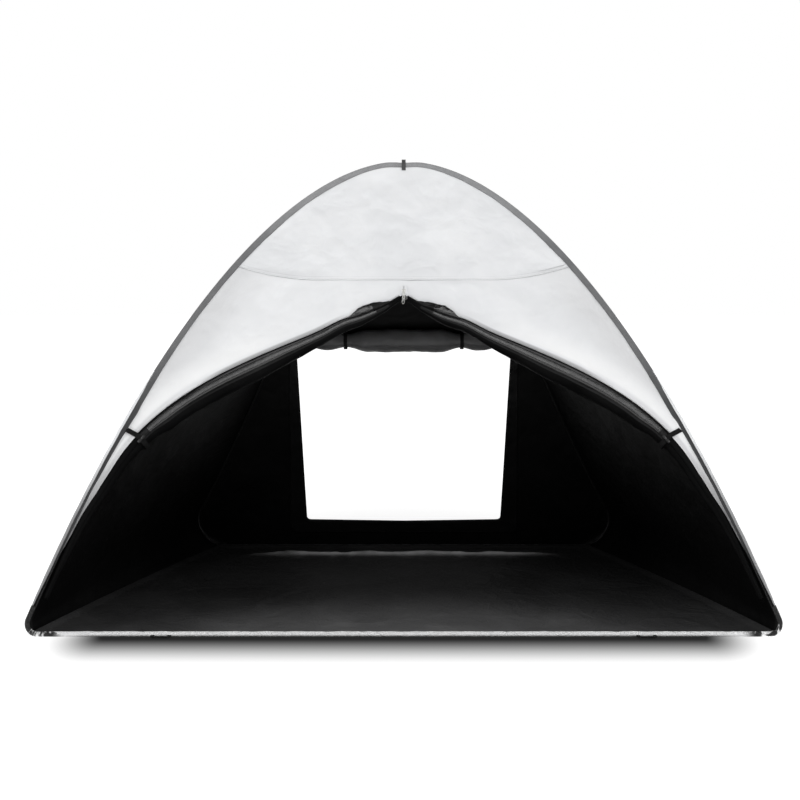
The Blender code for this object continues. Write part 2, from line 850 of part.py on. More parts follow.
def tie_roll_centre():
    """The roll's middle at the tie, as its way into the opening, its depth and its radius."""
    t, (x0, s0), (ax, down) = tie_frame()
    x, s, n, radius = roll_middle(t)
    above, below = door_roll_radius_at(t - tie_reading_share), door_roll_radius_at(t + tie_reading_share)
    widest = max(above, radius, below)
    return (x - x0) * down - (s - s0) * ax, n, widest


def door_tie(name, hand):
    """A webbing loop: from the sleeve over the panel's edge, then round the roll and up behind it."""
    (x0, s0), (ax, down) = tie_frame()[1:]
    sleeve_x = at_height(rising_half(front_sleeve_edge()), s0)[0]
    outer_end = (sleeve_x - x0) * -down - touch_gap
    inward, depth, radius = tie_roll_centre()
    reach = (radius + touch_gap) / math.cos(math.pi / tie_bend_steps / 2) + strap_cloth / 2
    front_n = skin_depth + touch_gap + strap_cloth / 2
    path = [(-outer_end, front_n), (binding_lip, front_n)]
    for k in range(tie_bend_steps + 1):
        turn = tie_first_turn + (tie_last_turn - tie_first_turn) * k / tie_bend_steps
        path.append((inward - reach * math.cos(turn), depth + reach * math.sin(turn)))
    section = strap_section(door_tie_width)
    return sweep(name, black_webbing(), path, lambda i: section, None, tie_place(hand))


toggle_shares = [(-0.5, 0.55), (-0.46, 0.85), (-0.38, 1.0), (-0.12, 0.95), (0.0, 0.62), (0.12, 0.95),
                 (0.38, 1.0), (0.46, 0.85), (0.5, 0.55)]


def toggle(name, hand):
    """A turned barrel with a waist, lying on the strap along the roll."""
    inward, depth, radius = tie_roll_centre()
    surface = depth + radius + touch_gap + strap_cloth + touch_gap
    path = [(inward, share * toggle_length) for share, size in toggle_shares]
    place_point = tie_place(hand)

    def section(i):
        return circle(toggle_radius * toggle_shares[i][1])
    return sweep(name, black_plastic(), path, section, None,
                 lambda across, along, n: place_point(across, n + surface + toggle_radius, along))


# Crown tie
def crown_tie():
    """A webbing strap folded over both sleeves at the crown, with its fold standing up as a tab."""
    wire_s = crown_s - crown_dip
    tail_s = wire_s - arch_sleeve_width + arch_pocket
    near_tail = tail_half + touch_gap + strap_cloth / 2
    near_wire = arch_pocket + touch_gap + strap_cloth / 2

    def leg_points(side):
        low = on_plane(side, 0.0, wire_s - crown_tie_leg, near_tail)
        tail = on_plane(side, 0.0, tail_s, near_tail)
        pocket = on_plane(side, 0.0, wire_s, near_wire)
        top = on_plane(side, 0.0, wire_s) + Vector((0, 0, near_wire))
        shoulder = pocket.lerp(top, 0.5)
        outward = (shoulder - on_plane(side, 0.0, wire_s)).normalized()
        shoulder = on_plane(side, 0.0, wire_s) + outward * near_wire / math.cos(math.pi / roll_sides)
        return [(point.y, point.z) for point in (low, tail, pocket, shoulder, top)]
    fold = strap_cloth / 2 + touch_gap / 2
    front_leg_points = leg_points(front)
    top_z = front_leg_points[-1][1]
    tab = [(-fold, top_z), (-fold, top_z + crown_tab_height), (fold, top_z + crown_tab_height), (fold, top_z)]
    path = front_leg_points + tab + leg_points(rear)[::-1]
    section = strap_section(crown_tie_width)
    return sweep("crown_tie", black_webbing(), path, lambda i: section, None,
                 lambda y, z, along: Vector((along, y, z)))


# Zip tape, slider and pull
def front_place(x, s, n):
    return on_plane(front, x, opening_peak + s, n)


tape_low = panel_cloth / 2 + touch_gap
tape_high = tape_low + zip_tape_cloth


def zip_tape():
    """The top of the zip, where its two tapes meet above the slider and part below it."""
    half = zip_tape_width / 2
    slot = slider_web / 2 + touch_gap
    slot_end = slider_place + slider_length / 2 + touch_gap
    outline = [(-half, -zip_tape_below), (-slot, -zip_tape_below), (-slot, slot_end), (slot, slot_end),
               (slot, -zip_tape_below), (half, -zip_tape_below), (half, zip_tape_above),
               (-half, zip_tape_above)]
    return flat_piece("zip_tape", black_webbing(), outline, [], tape_low, tape_high, front_place)


def bail_outline():
    """A rounded eye that stands on the slider, as points (s, n) from the pull's pivot."""
    foot = bail_radius + touch_gap
    turns = [math.pi * k / half_turn_steps for k in range(half_turn_steps + 1)]
    arc = [(bail_radius * math.cos(turn), bail_radius * math.sin(turn)) for turn in turns]
    return arc + [(-bail_radius, -foot), (bail_radius, -foot)]


slider_face = tape_high + touch_gap + slider_plate
pivot_n = slider_face + bail_radius


def zip_slider():
    """Two shield plates joined by a web through the zip, with an eye on the front for the pull."""
    half, web = slider_width / 2, slider_web / 2
    back_low, back_high = tape_low - touch_gap - slider_plate, tape_low - touch_gap
    front_low = tape_high + touch_gap
    outline = [(-half, back_low), (half, back_low), (half, back_high), (web, back_high), (web, front_low),
               (half, front_low), (half, slider_face), (-half, slider_face), (-half, front_low),
               (-web, front_low), (-web, back_high), (-half, back_high)]
    low = slider_place - slider_length / 2
    body = flat_piece("zip_slider", bright_metal(), outline, [], low, low + slider_length,
                      lambda x, n, s: front_place(x, s, n))
    eye = flat_piece("zip_slider_eye", bright_metal(), bail_outline(), [circle(bail_bore)], -bail_width / 2,
                     bail_width / 2, lambda s, n, x: front_place(x, slider_place + s, pivot_n + n))
    join = body.modifiers.new("eye on plate", "BOOLEAN")
    join.operation = "UNION"
    join.solver = "EXACT"
    join.object = eye
    eye.hide_render = True
    eye.display_type = "WIRE"
    return body


def teardrop(centre_s, radius, length):
    """A hole that is round at the foot and pointed at the top."""
    turns = [math.pi * k / half_turn_steps for k in range(half_turn_steps + 1)]
    arc = [(radius * math.cos(turn), centre_s - radius * math.sin(turn)) for turn in turns]
    return arc + [(0.0, centre_s + length)]


def zip_pull():
    """A flat tab whose top bar turns in the slider's eye."""
    half_bar = pull_bar / 2
    half_top = bail_width / 2 + touch_gap + pull_bar
    inner = bail_width / 2 + touch_gap
    half = pull_width / 2
    outline = [(-half_top, half_bar), (-half_top, -pull_window_reach), (-half, -pull_length + half),
               (-half / 2, -pull_length), (half / 2, -pull_length), (half, -pull_length + half),
               (half_top, -pull_window_reach), (half_top, half_bar)]
    window = [(-inner, -half_bar), (inner, -half_bar),
              (inner, -pull_window_reach), (-inner, -pull_window_reach)]
    hole = teardrop(-pull_length + half, pull_hole_radius, pull_hole_length)
    return flat_piece("zip_pull", bright_metal(), outline, [window, hole], -half_bar, half_bar,
                      lambda x, s, n: front_place(x, slider_place + s, pivot_n + n))


# Peg loops
def peg_loop(name, side, x, hand):
    """Webbing folded flat into a loop, its two ends sewn into the foot seam."""
    half, inner = loop_span / 2, loop_span / 2 - loop_web
    fold = loop_web / 2
    outline = [(-half, 0.0), (-inner, 0.0), (-inner, loop_reach - loop_web), (inner, loop_reach - loop_web),
               (inner, 0.0), (half, 0.0), (half, loop_reach - fold), (half - fold, loop_reach),
               (-half + fold, loop_reach), (-half, loop_reach - fold)]
    start = tent_depth / 2 + touch_gap

    def place(across, out, up):
        return Vector((hand * x + across, side * (start + out), foot_pocket + up))
    return flat_piece(name, black_webbing(), outline, [], -loop_cloth / 2, loop_cloth / 2, place)


# Main
hinge_s = crown_s - crown_dip


def clear_scene():
    for old in list(bpy.data.objects):
        bpy.data.objects.remove(old, do_unlink=True)


def carrier(name, place):
    """An empty on a joint's axis, which carries the pieces that turn about it."""
    made = bpy.data.objects.new(name, None)
    made.location = place
    bpy.context.scene.collection.objects.link(made)
    return made


def carry(empty, pieces):
    for piece in pieces:
        piece.parent = empty
        piece.location = -empty.location


def build():
    clear_scene()
    hoop("front", front, front_corner, front_leg)
    rear_pieces = hoop("rear", rear, rear_corner, rear_leg)
    upper_front_panel()
    lower_front_panel()
    groundsheet()
    crown_tie()
    zip_tape()
    zip_slider()
    pull = zip_pull()
    rear_pieces += [rear_panel(), window_border(), window_cover_roll()]
    for label, hand in (("right", 1), ("left", -1)):
        side_panel("side_panel_" + label, hand)
        opening_binding("opening_binding_" + label, hand)
        door_roll("door_roll_" + label, hand)
        door_tie("door_tie_" + label, hand)
        toggle("door_toggle_" + label, hand)
        peg_loop("peg_loop_front_" + label, front, front_loop_place, hand)
        rear_pieces.append(window_tie("window_tie_" + label, hand))
        rear_pieces.append(peg_loop("peg_loop_rear_" + label, rear, rear_loop_place, hand))
    carry(carrier("rear_hoop_axis", on_plane(rear, 0.0, hinge_s)), rear_pieces)
    carry(carrier("zip_pull_axis", front_place(0.0, slider_place, pivot_n)), [pull])


build()
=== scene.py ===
# %% [markdown]
# # A pop-up beach tent, piece by piece
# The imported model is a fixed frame: rigid pieces at their real size, in metres, with +Z up and the door
# facing -Y. This lesson dresses that frame. Cloth becomes thin sheets with folds and seams, tape becomes
# webbing with an edge, and every surface gets a finish made of shader nodes. Loading the frame comes
# first, because each piece takes its place from it.

# %% Load the fixed frame
import math

import bpy
import numpy as np
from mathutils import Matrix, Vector, noise


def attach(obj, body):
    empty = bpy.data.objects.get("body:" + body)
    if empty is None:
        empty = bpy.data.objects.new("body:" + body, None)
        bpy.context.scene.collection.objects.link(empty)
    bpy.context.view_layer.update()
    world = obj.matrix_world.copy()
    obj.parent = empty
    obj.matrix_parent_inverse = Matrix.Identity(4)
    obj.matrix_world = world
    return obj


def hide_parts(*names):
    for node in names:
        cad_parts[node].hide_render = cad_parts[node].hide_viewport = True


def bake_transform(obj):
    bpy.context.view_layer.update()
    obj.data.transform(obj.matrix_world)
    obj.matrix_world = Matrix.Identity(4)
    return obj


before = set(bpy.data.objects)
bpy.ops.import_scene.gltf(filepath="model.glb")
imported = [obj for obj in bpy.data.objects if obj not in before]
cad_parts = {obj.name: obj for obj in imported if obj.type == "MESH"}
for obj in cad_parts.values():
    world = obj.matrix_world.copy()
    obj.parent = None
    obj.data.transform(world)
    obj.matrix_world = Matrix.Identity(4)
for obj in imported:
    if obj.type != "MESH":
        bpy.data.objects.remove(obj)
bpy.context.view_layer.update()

# %% [markdown]
# ## The camera
# The photograph was taken from straight in front, a little above the middle of the tent, with the back
# of the camera upright. So the camera stays level and its lens is shifted down, which keeps the upright
# lines upright, as an architect's camera does.

# %% Camera
picture_side = 800
focal_px = 1366.3
horizon_px = 278.0
centre_px = 403.7
camera_back = 4.187
camera_height = 0.9425
sensor_side = 36.0

lens = bpy.data.cameras.new("front_view")
lens.sensor_width = sensor_side
lens.lens = focal_px / picture_side * sensor_side
lens.shift_x = (picture_side / 2 - centre_px) / picture_side
lens.shift_y = (horizon_px - picture_side / 2) / picture_side
camera = bpy.data.objects.new("front_view", lens)
camera.location = (0, -camera_back, camera_height)
camera.rotation_euler = (math.radians(90), 0, 0)
bpy.context.scene.collection.objects.link(camera)
bpy.context.scene.camera = camera
print("lens", round(lens.lens, 1), "mm, shift", round(lens.shift_x, 4), round(lens.shift_y, 4))

# %% [markdown]
# ## Writing shader maths as sums
# A finish is a network of nodes, and most of it is arithmetic. One small class wraps a socket, so that
# a line such as `1 - mask * 0.5` adds the Math nodes by itself. Everything else goes through one
# method, which takes a node's type, its settings and what its sockets get. The same class serves
# geometry nodes later.

# %% Node trees as expressions
class Signal:
    """A node's output that can be used in sums."""

    def __init__(self, tree, socket):
        self.tree, self.socket = tree, socket

    def math(self, operation, *others):
        return self.tree.add("ShaderNodeMath", {"operation": operation}, dict(enumerate((self, *others))))

    def __add__(self, other):
        return self.math("ADD", other)

    def __sub__(self, other):
        return self.math("SUBTRACT", other)

    def __mul__(self, other):
        return self.math("MULTIPLY", other)

    def __rsub__(self, other):
        return self.tree.add("ShaderNodeMath", {"operation": "SUBTRACT"}, {0: other, 1: self})

    __radd__ = __add__
    __rmul__ = __mul__

    def sine(self):
        return self.math("SINE")

    def power(self, exponent):
        return self.math("POWER", exponent)

    def ramp(self, low, high):
        """0 at low and 1 at high, with a smooth step between them."""
        return self.tree.add("ShaderNodeMapRange", {"interpolation_type": "SMOOTHSTEP"},
                             {"Value": self, "From Min": low, "From Max": high})


class Nodes:
    """A node tree with one method that adds a node."""

    def __init__(self, tree):
        self.tree = tree

    def node(self, kind, settings=None, sockets=None):
        made = self.tree.nodes.new(kind)
        for name, value in (settings or {}).items():
            setattr(made, name, value)
        for key, value in (sockets or {}).items():
            target = made.inputs[key]
            if isinstance(value, Signal):
                self.tree.links.new(value.socket, target)
            elif value is not None:
                target.default_value = value
        return made

    def add(self, kind, settings=None, sockets=None, output=0):
        return Signal(self, self.node(kind, settings, sockets).outputs[output])


class Finish(Nodes):
    """A material whose Principled shader takes numbers and signals."""

    def __init__(self, name, **constants):
        self.material = bpy.data.materials.new(name)
        self.material.use_nodes = True
        super().__init__(self.material.node_tree)
        self.shader = self.tree.nodes["Principled BSDF"]
        self.set(**constants)

    def set(self, **sockets):
        for name, value in sockets.items():
            target = self.shader.inputs[name.replace("_", " ").title().replace("Ior", "IOR")]
            if isinstance(value, Signal):
                self.tree.links.new(value.socket, target)
            else:
                target.default_value = value

    def noise(self, place, scale, detail=2.0, roughness=0.5, distortion=0.0):
        return self.add("ShaderNodeTexNoise", {"noise_dimensions": "3D"},
                        {"Vector": place, "Scale": scale, "Detail": detail, "Roughness": roughness,
                         "Distortion": distortion})

    def axis(self, vector, index):
        return self.add("ShaderNodeSeparateXYZ", {}, {0: vector}, index)

    def mix(self, share, low, high):
        """A colour that is low where share is 0 and high where it is 1. Each may be a signal."""
        low, high = (end if isinstance(end, Signal) else (*end, 1.0) for end in (low, high))
        return self.add("ShaderNodeMix", {"data_type": "RGBA"}, {0: share, 6: low, 7: high}, 2)

    def bump(self, height, distance, strength=1.0, under=None):
        return self.add("ShaderNodeBump", {}, {"Height": height, "Distance": distance,
                                               "Strength": strength, "Normal": under})

    def cloth_place(self):
        """The piece's own UV map, which is in metres along and across the cloth."""
        return self.add("ShaderNodeUVMap", {"uv_map": "cloth"})

    def object_place(self):
        return self.add("ShaderNodeTexCoord", {}, {}, 3)

    def height(self):
        return self.axis(self.object_place(), 2)

    def sideways(self):
        return self.axis(self.object_place(), 0).math("ABSOLUTE")


print("classes:", Signal.__name__, Nodes.__name__, Finish.__name__)

# %% [markdown]
# ## White coated cloth
# The walls are thin polyester with a white coat outside. Seen close it has a fine plain weave, and seen
# from a step away it has soft creases from folding, which show only by the way they turn the light. The
# weave and the creases are bumps, and the colour changes by a few hundredths, where the coat is
# rubbed. The same recipe makes the black inner face and the rolled cloth, so it is a function of colour,
# gloss and the painted shade and painted highlights that are laid over it.

# %% Woven cloth finish
thread_pitch, thread_height = 0.0009, 0.00006
door_foot_x, door_fade = 0.62, 0.12
turn = 2 * math.pi


def woven_cloth(name, dark, light, roughness, crease=0.0012, gloss=0.0, shine=0.5, painted_tones=None):
    """Plain woven cloth between two colours, with creases and a weave. The function painted_tones gives pairs
    of a share and a colour, painted shade and painted highlights, which are laid over it in turn."""
    made = Finish(name, specular_ior_level=shine, coat_weight=gloss, coat_roughness=0.35)
    place = made.cloth_place()
    broad = made.noise(place, 5.0, 3.0, 0.55, 0.6)
    colour = made.mix(broad.ramp(0.35, 0.68), dark, light)
    for share, tone in painted_tones(made, place) if painted_tones else ():
        colour = made.mix(share, colour, tone)
    made.set(base_color=colour)
    across, along = made.axis(place, 0), made.axis(place, 1)
    weave = (across * (turn / thread_pitch)).sine() * (along * (turn / thread_pitch)).sine()
    fine = made.noise(place, 38.0, 4.0, 0.6, 1.2)
    made.set(roughness=roughness + (fine - 0.5) * 0.16)
    soft = made.noise(place, 8.0, 2.0, 0.5, 1.2)
    creased = made.bump(soft, crease * 5)
    creased = made.bump(fine, crease * 0.4, 1.0, creased)
    made.set(normal=made.bump(weave, thread_height, 0.6, creased))
    return made.material


def painted_low_shade(made, place):
    """Painted shade: the cloth's colour darkens to grey towards the ground."""
    return [(1 - made.height().ramp(0.27, 0.50), (0.29, 0.29, 0.295))]


def along_door(made, inner=0.13):
    """1 beside the slanted sides of the door, and 0 over its top and towards its feet."""
    aside = made.sideways()
    return aside.ramp(inner, inner + 0.13) * (1 - aside.ramp(door_foot_x - door_fade, door_foot_x))


def panel_painted_light(made, place):
    """Painted shade beside the sleeve, a painted highlight in a band just above the door, and painted shade
    along the hem beside the door's slanted sides."""
    from_door = made.axis(place, 1)
    from_sleeve = made.add("ShaderNodeAttribute", {"attribute_name": "from_sleeve"}, {}, 2)
    # Painted shade: darker within about 15 cm of the sleeve, fading out towards the top of the hoop.
    beside = (1 - from_sleeve.ramp(0.0, 0.15)) * (1 - made.height().ramp(0.86, 1.12)) * 0.75
    # Painted highlight: a lighter band a few centimetres above the door's edge, away from the middle.
    swell = from_door.ramp(0.014, 0.028) * (1 - from_door.ramp(0.03, 0.10))
    swell = swell * made.sideways().ramp(0.24, 0.46)
    # Painted shade: a grey band along the first centimetre or two of the hem, beside the door's slanted
    # sides.
    hem = (1 - from_door.ramp(0.010, 0.018)) * along_door(made)
    return [(beside, (0.62, 0.622, 0.63)), (swell, (0.88, 0.885, 0.89)), (hem, (0.40, 0.403, 0.41)),
            *painted_low_shade(made, place)]


def roll_painted_light(made, place):
    """Painted light: where the roll meets the panel, its black cloth is painted a pale grey."""
    return [(along_door(made, 0.06), (0.085, 0.085, 0.086))]


white_coat = {"dark": (0.745, 0.755, 0.770), "light": (0.80, 0.808, 0.82), "roughness": 0.46,
              "crease": 0.0009, "gloss": 0.12}
# A slightly lighter copy of the white coat for the lower front panel: painted light.
painted_lit_coat = white_coat | {"dark": (0.75, 0.76, 0.775), "light": (0.805, 0.813, 0.825)}
satin_black = {"dark": (0.0030, 0.0030, 0.0031), "light": (0.0060, 0.0060, 0.0062)}
rolled_black = {"dark": (0.0035, 0.0035, 0.0036), "light": (0.0075, 0.0075, 0.0077), "crease": 0.0008}

white_outer = woven_cloth("white_coat", **white_coat)
white_shaded = woven_cloth("white_coat_shaded", painted_tones=painted_low_shade, **white_coat)
white_painted_light = woven_cloth("white_coat_painted_light", painted_tones=panel_painted_light, **painted_lit_coat)
black_inner = woven_cloth("black_lining", (0.0017, 0.0017, 0.0018), (0.0030, 0.0030, 0.0031), 0.55, 0.0011,
                          shine=0.14)
black_satin = woven_cloth("black_satin", roughness=0.40, shine=0.25, **satin_black)
rolled_cloth = woven_cloth("rolled_cloth", roughness=0.25, shine=0.8, **rolled_black)
rolled_painted_light = woven_cloth("rolled_painted_light", roughness=0.35, shine=0.4, painted_tones=roll_painted_light, **rolled_black)
rolled_half = woven_cloth("rolled_half", roughness=0.42, crease=0.0010, shine=0.24, **satin_black)
rolled_dull = woven_cloth("rolled_dull", (0.0020, 0.0020, 0.0021), (0.0042, 0.0042, 0.0043), 0.6, shine=0.05)
cover_cloth = woven_cloth("cover_cloth", (0.080, 0.080, 0.081), (0.108, 0.108, 0.110), 0.5, shine=0.3)
print("cloth:", [m.name for m in (white_outer, black_inner, black_satin, rolled_cloth, cover_cloth)])

# %% [markdown]
# ## Tape, floor cloth and foil cloth
# The hoops' sleeves are a grey twill tape: its threads step one place in each row, which draws a slanting
# rib. Straps are black webbing with ribs across. The floor is a heavier coated cloth that keeps its
# creases, and the sill's sleeve has a silver coat that crinkles like foil.

# %% Twill and webbing
twill_pitch = 0.0021
rib_pitch = 0.0016


def twill_tape(name, dark, light, roughness):
    made = Finish(name, specular_ior_level=0.15)
    place = made.cloth_place()
    across, along = made.axis(place, 0), made.axis(place, 1)
    rib = ((across + along) * (turn / twill_pitch)).sine() * 0.5 + 0.5
    thread = ((across - along) * (turn / twill_pitch * 2)).sine() * 0.5 + 0.5
    worn = made.noise(place, 22.0, 4.0, 0.6, 0.4)
    share = rib * 0.45 + thread * 0.15 + worn * 0.4
    tape = made.mix(share.ramp(0.2, 0.8), dark, light)
    # Painted shade: the tape's colour darkens step by step down the hoop, to near black at its foot.
    high = made.height()
    painted_sleeve_shade = 1 - high.ramp(0.98, 1.20) * 0.40 - high.ramp(0.50, 0.80) * 0.42 - high.ramp(0.12, 0.28) * 0.18
    shade = made.mix(painted_sleeve_shade, tape, (0.004, 0.004, 0.004))
    made.set(base_color=shade, roughness=roughness + rib * 0.06)
    made.set(normal=made.bump(rib + thread * 0.35, 0.00022, 0.9, made.bump(worn, 0.0016)))
    return made.material


def webbing(name, dark, light, roughness):
    made = Finish(name, specular_ior_level=0.15)
    place = made.cloth_place()
    across, along = made.axis(place, 0), made.axis(place, 1)
    rib = (along * (turn / rib_pitch)).sine() * 0.5 + 0.5
    thread = (across * (turn / rib_pitch * 1.5)).sine() * 0.5 + 0.5
    fluff = made.noise(place, 140.0, 3.0, 0.6)
    made.set(base_color=made.mix((rib * 0.6 + fluff * 0.4).ramp(0.2, 0.85), dark, light),
             roughness=roughness + fluff * 0.12)
    made.set(normal=made.bump(rib + thread * 0.4, 0.00025, 0.9))
    return made.material


grey_tape = twill_tape("grey_twill", (0.190, 0.191, 0.196), (0.370, 0.373, 0.380), 0.62)
black_tape = webbing("black_ribbed_tape", (0.0025, 0.0025, 0.0025), (0.0070, 0.0070, 0.0072), 0.62)
faded_strap = webbing("faded_black_strap", (0.050, 0.050, 0.051), (0.110, 0.110, 0.112), 0.62)
print("tape:", grey_tape.name, black_tape.name, faded_strap.name)


# %% Floor cloth and silver cloth
def floor_cloth():
    """A heavy coated sheet: long soft folds, short sharp creases, rubbed patches, painted light by the door
    and a painted highlight on the fold by the rear wall.
    """
    made = Finish("floor_sheet", specular_ior_level=0.15)
    place = made.cloth_place()
    rubbed = made.noise(place, 3.2, 4.0, 0.6, 0.8)
    patch = rubbed.ramp(0.3, 0.7)
    back, high, aside = made.axis(made.object_place(), 1), made.height(), made.sideways()
    # Painted light: a lighter floor near the door, fading towards the back and the sides.
    painted_door_light = (back * -1).ramp(-0.02, 0.56).power(1.3) * (1 - aside.ramp(0.25, 0.76) * 0.7)
    painted_door_light = painted_door_light * (0.72 + made.noise(place, 6.0, 2.0, 0.5, 0.8) * 0.56)
    # Painted highlight: a pale line along the top of the fold near the rear wall.
    painted_fold_highlight = high.ramp(0.0006, 0.0120) * back.ramp(0.38, 0.42) * (1 - back.ramp(0.480, 0.50))
    painted_fold_highlight = painted_fold_highlight * (1 - aside.ramp(0.30, 0.60)) * made.noise(place, 4.5, 3.0, 0.6).ramp(0.2, 0.62)
    plain = made.mix(patch, (0.0150, 0.0150, 0.0152), (0.0230, 0.0230, 0.0233))
    painted_lit_floor = made.mix(patch, (0.0900, 0.0900, 0.0910), (0.1250, 0.1250, 0.1260))
    made.set(base_color=made.mix(painted_fold_highlight, made.mix(painted_door_light, plain, painted_lit_floor), (0.38, 0.38, 0.382)))
    crumple = made.noise(place, 9.0, 6.0, 0.62, 2.2)
    crease = 1 - (made.noise(place, 5.5, 3.0, 0.5, 1.4) - 0.5).math("ABSOLUTE").ramp(0.0, 0.045)
    made.set(roughness=0.34 + rubbed * 0.16 + crumple * 0.06)
    grain = made.noise(place, 420.0, 2.0, 0.5)
    folded = made.bump(crumple, 0.006)
    folded = made.bump(crease, 0.0006, 0.8, folded)
    made.set(normal=made.bump(grain, 0.00008, 0.5, folded))
    return made.material


def silver_cloth():
    """A silver coat on cloth: facets of foil between creases."""
    made = Finish("silver_coat", specular_ior_level=0.5)
    place = made.cloth_place()
    facet = made.noise(place, 60.0, 3.0, 0.6, 2.4)
    small = made.noise(place, 210.0, 3.0, 0.6, 1.0)
    coat = made.mix(facet.ramp(0.3, 0.7), (0.92, 0.925, 0.93), (0.99, 0.99, 0.99))
    # Darker in patches at the sill's corners, and near black above its lowest few centimetres.
    corner = made.sideways().ramp(0.885, 0.925)
    darkened_patches = corner * made.noise(place, 34.0, 3.0, 0.6, 1.5).ramp(0.36, 0.50)
    darkened_patches = darkened_patches.math("MAXIMUM", made.height().ramp(0.022, 0.032))
    made.set(base_color=made.mix(darkened_patches, coat, (0.006, 0.006, 0.006)), metallic=facet * 0.06,
             roughness=0.24 + small * 0.2)
    made.set(normal=made.bump(small, 0.0006, 1.0, made.bump(facet, 0.0035)))
    return made.material


floor_sheet, silver_coat = floor_cloth(), silver_cloth()
print("heavy cloth:", floor_sheet.name, silver_coat.name)

# %% [markdown]
# ## Wire, plated metal, plastic and thread
# The small hard pieces keep the frame's own shapes. Spring wire is drawn, so it has fine marks along its
# length, the zip's slider is plated with a clouded tone and fine marks, and the toggles are moulded plastic
# with a soft grain. These patterns read object coordinates, because the pieces have no cloth map.


# %% Hard finishes and thread
def drawn_wire():
    made = Finish("spring_wire", metallic=1.0, specular_ior_level=0.5)
    streak = made.noise(made.object_place(), 320.0, 4.0, 0.7)
    made.set(base_color=made.mix(streak.ramp(0.3, 0.7), (0.26, 0.26, 0.27), (0.42, 0.42, 0.43)),
             roughness=0.28 + streak * 0.16, normal=made.bump(streak, 0.00005, 0.6))
    return made.material


def plated_metal():
    made = Finish("plated_metal", metallic=1.0)
    place = made.object_place()
    cloud, mark = made.noise(place, 90.0, 3.0), made.noise(place, 900.0, 4.0, 0.7, 0.5)
    made.set(base_color=made.mix(cloud.ramp(0.3, 0.7), (0.34, 0.34, 0.33), (0.56, 0.56, 0.54)),
             roughness=0.34 + mark * 0.18, normal=made.bump(mark, 0.00004, 0.7))
    return made.material


def moulded_plastic():
    made = Finish("moulded_plastic")
    grain = made.noise(made.object_place(), 700.0, 3.0, 0.6)
    made.set(base_color=made.mix(grain.ramp(0.3, 0.7), (0.014, 0.014, 0.014), (0.026, 0.026, 0.026)),
             roughness=0.26 + grain * 0.14, normal=made.bump(grain, 0.00006, 0.7))
    return made.material


def sewing_thread(name, dark, light):
    made = Finish(name, specular_ior_level=0.4)
    ply = made.noise(made.object_place(), 1500.0, 2.0)
    made.set(base_color=made.mix(ply.ramp(0.3, 0.7), dark, light), roughness=0.5 + ply * 0.2)
    return made.material


spring_wire, plated, moulded = drawn_wire(), plated_metal(), moulded_plastic()
white_thread = sewing_thread("white_thread", (0.44, 0.45, 0.46), (0.56, 0.57, 0.58))
grey_thread = sewing_thread("grey_thread", (0.10, 0.10, 0.105), (0.17, 0.17, 0.175))
black_thread = sewing_thread("black_thread", (0.012, 0.012, 0.012), (0.03, 0.03, 0.03))
print("hard finishes:", spring_wire.name, plated.name, moulded.name)

# %% [markdown]
# ## The two leaning hoops as formulas
# Each hoop lies in a plane that leans towards the other, so every piece on it is easiest to describe in
# that plane: x across, s up the slope, and n out of the plane. A hoop is a corner arc and one cubic
# curve for each leg. The same few sizes as in the frame give smooth curves at any fineness.

# %% Planes and hoops
width, depth, height = 2.00, 1.20, 1.30
pocket, foot_pocket = 0.0031, 0.0044
front_half = width / 2 - foot_pocket
crown_offset = pocket + 0.0005
foot_y = depth / 2 - foot_pocket
plane_run, plane_rise = foot_y - crown_offset, height - pocket - foot_pocket
crown_s = math.hypot(plane_run, plane_rise)
lean = math.atan2(plane_run, plane_rise)
front, rear = -1, 1


def on_plane(side, x, s, n=0.0):
    """Points x across, s up the slope and n out of the front or rear plane, as an array (..., 3)."""
    x, s, n = np.broadcast_arrays(x, s, n)
    y = side * (foot_y - s * math.sin(lean) + n * math.cos(lean))
    return np.stack([x, y, foot_pocket + s * math.cos(lean) + n * math.sin(lean)], axis=-1)


def on_sheet(side, flat, n=0.0):
    """Points of an array (..., 2) of x and s, raised by n out of the front or rear plane."""
    return on_plane(side, flat[..., 0], flat[..., 1], n)


def smooth(value):
    held = np.clip(value, 0.0, 1.0)
    return held * held * (3 - 2 * held)


def bezier(points, t):
    a, b, c, d = (np.asarray(point, float) for point in points)
    t = np.asarray(t, float)[..., None]
    return (1 - t)**3 * a + 3 * (1 - t)**2 * t * b + 3 * (1 - t) * t * t * c + t**3 * d


crown_dip, crown_dip_reach = 0.005, 0.06
corner_points, leg_points = 24, 161


def hoop_curves(half_width, radius, leg_lean, leg_pull, crown_pull):
    """The corner arc and the leg of a hoop at +X, from the ground up to the crown."""
    turns = np.linspace(-math.pi / 2, leg_lean, corner_points)
    centre = half_width - radius
    corner = np.stack([centre + radius * np.cos(turns), radius + radius * np.sin(turns)], axis=1)
    start = corner[-1]
    pull = start + leg_pull * np.array([-math.sin(leg_lean), math.cos(leg_lean)])
    leg = bezier([start, pull, (crown_pull, crown_s), (0.0, crown_s)], np.linspace(0, 1, leg_points))
    leg[:, 1] -= crown_dip * smooth(1 - np.abs(leg[:, 0]) / crown_dip_reach)
    return corner, leg


def mirrored(path):
    return path[::-1] * (-1, 1)


def both_sides(half):
    """A path that ends at the middle, carried on by its mirror image."""
    return np.concatenate([half, mirrored(half)[1:]])


def for_hand(hand, path, *rows):
    """A path at +X and its rows as they are, or turned over to lie at -X."""
    return (path, *rows) if hand > 0 else (mirrored(path), *(row[::-1] for row in rows))


def normals_of(path):
    """Unit normals on the right-hand side of a path, which is outwards on an anticlockwise one."""
    step = np.gradient(path, axis=0)
    step /= np.linalg.norm(step, axis=1, keepdims=True)
    return np.stack([step[:, 1], -step[:, 0]], axis=1)


def offset(path, distance):
    return path + normals_of(path) * np.reshape(distance, (-1, 1))


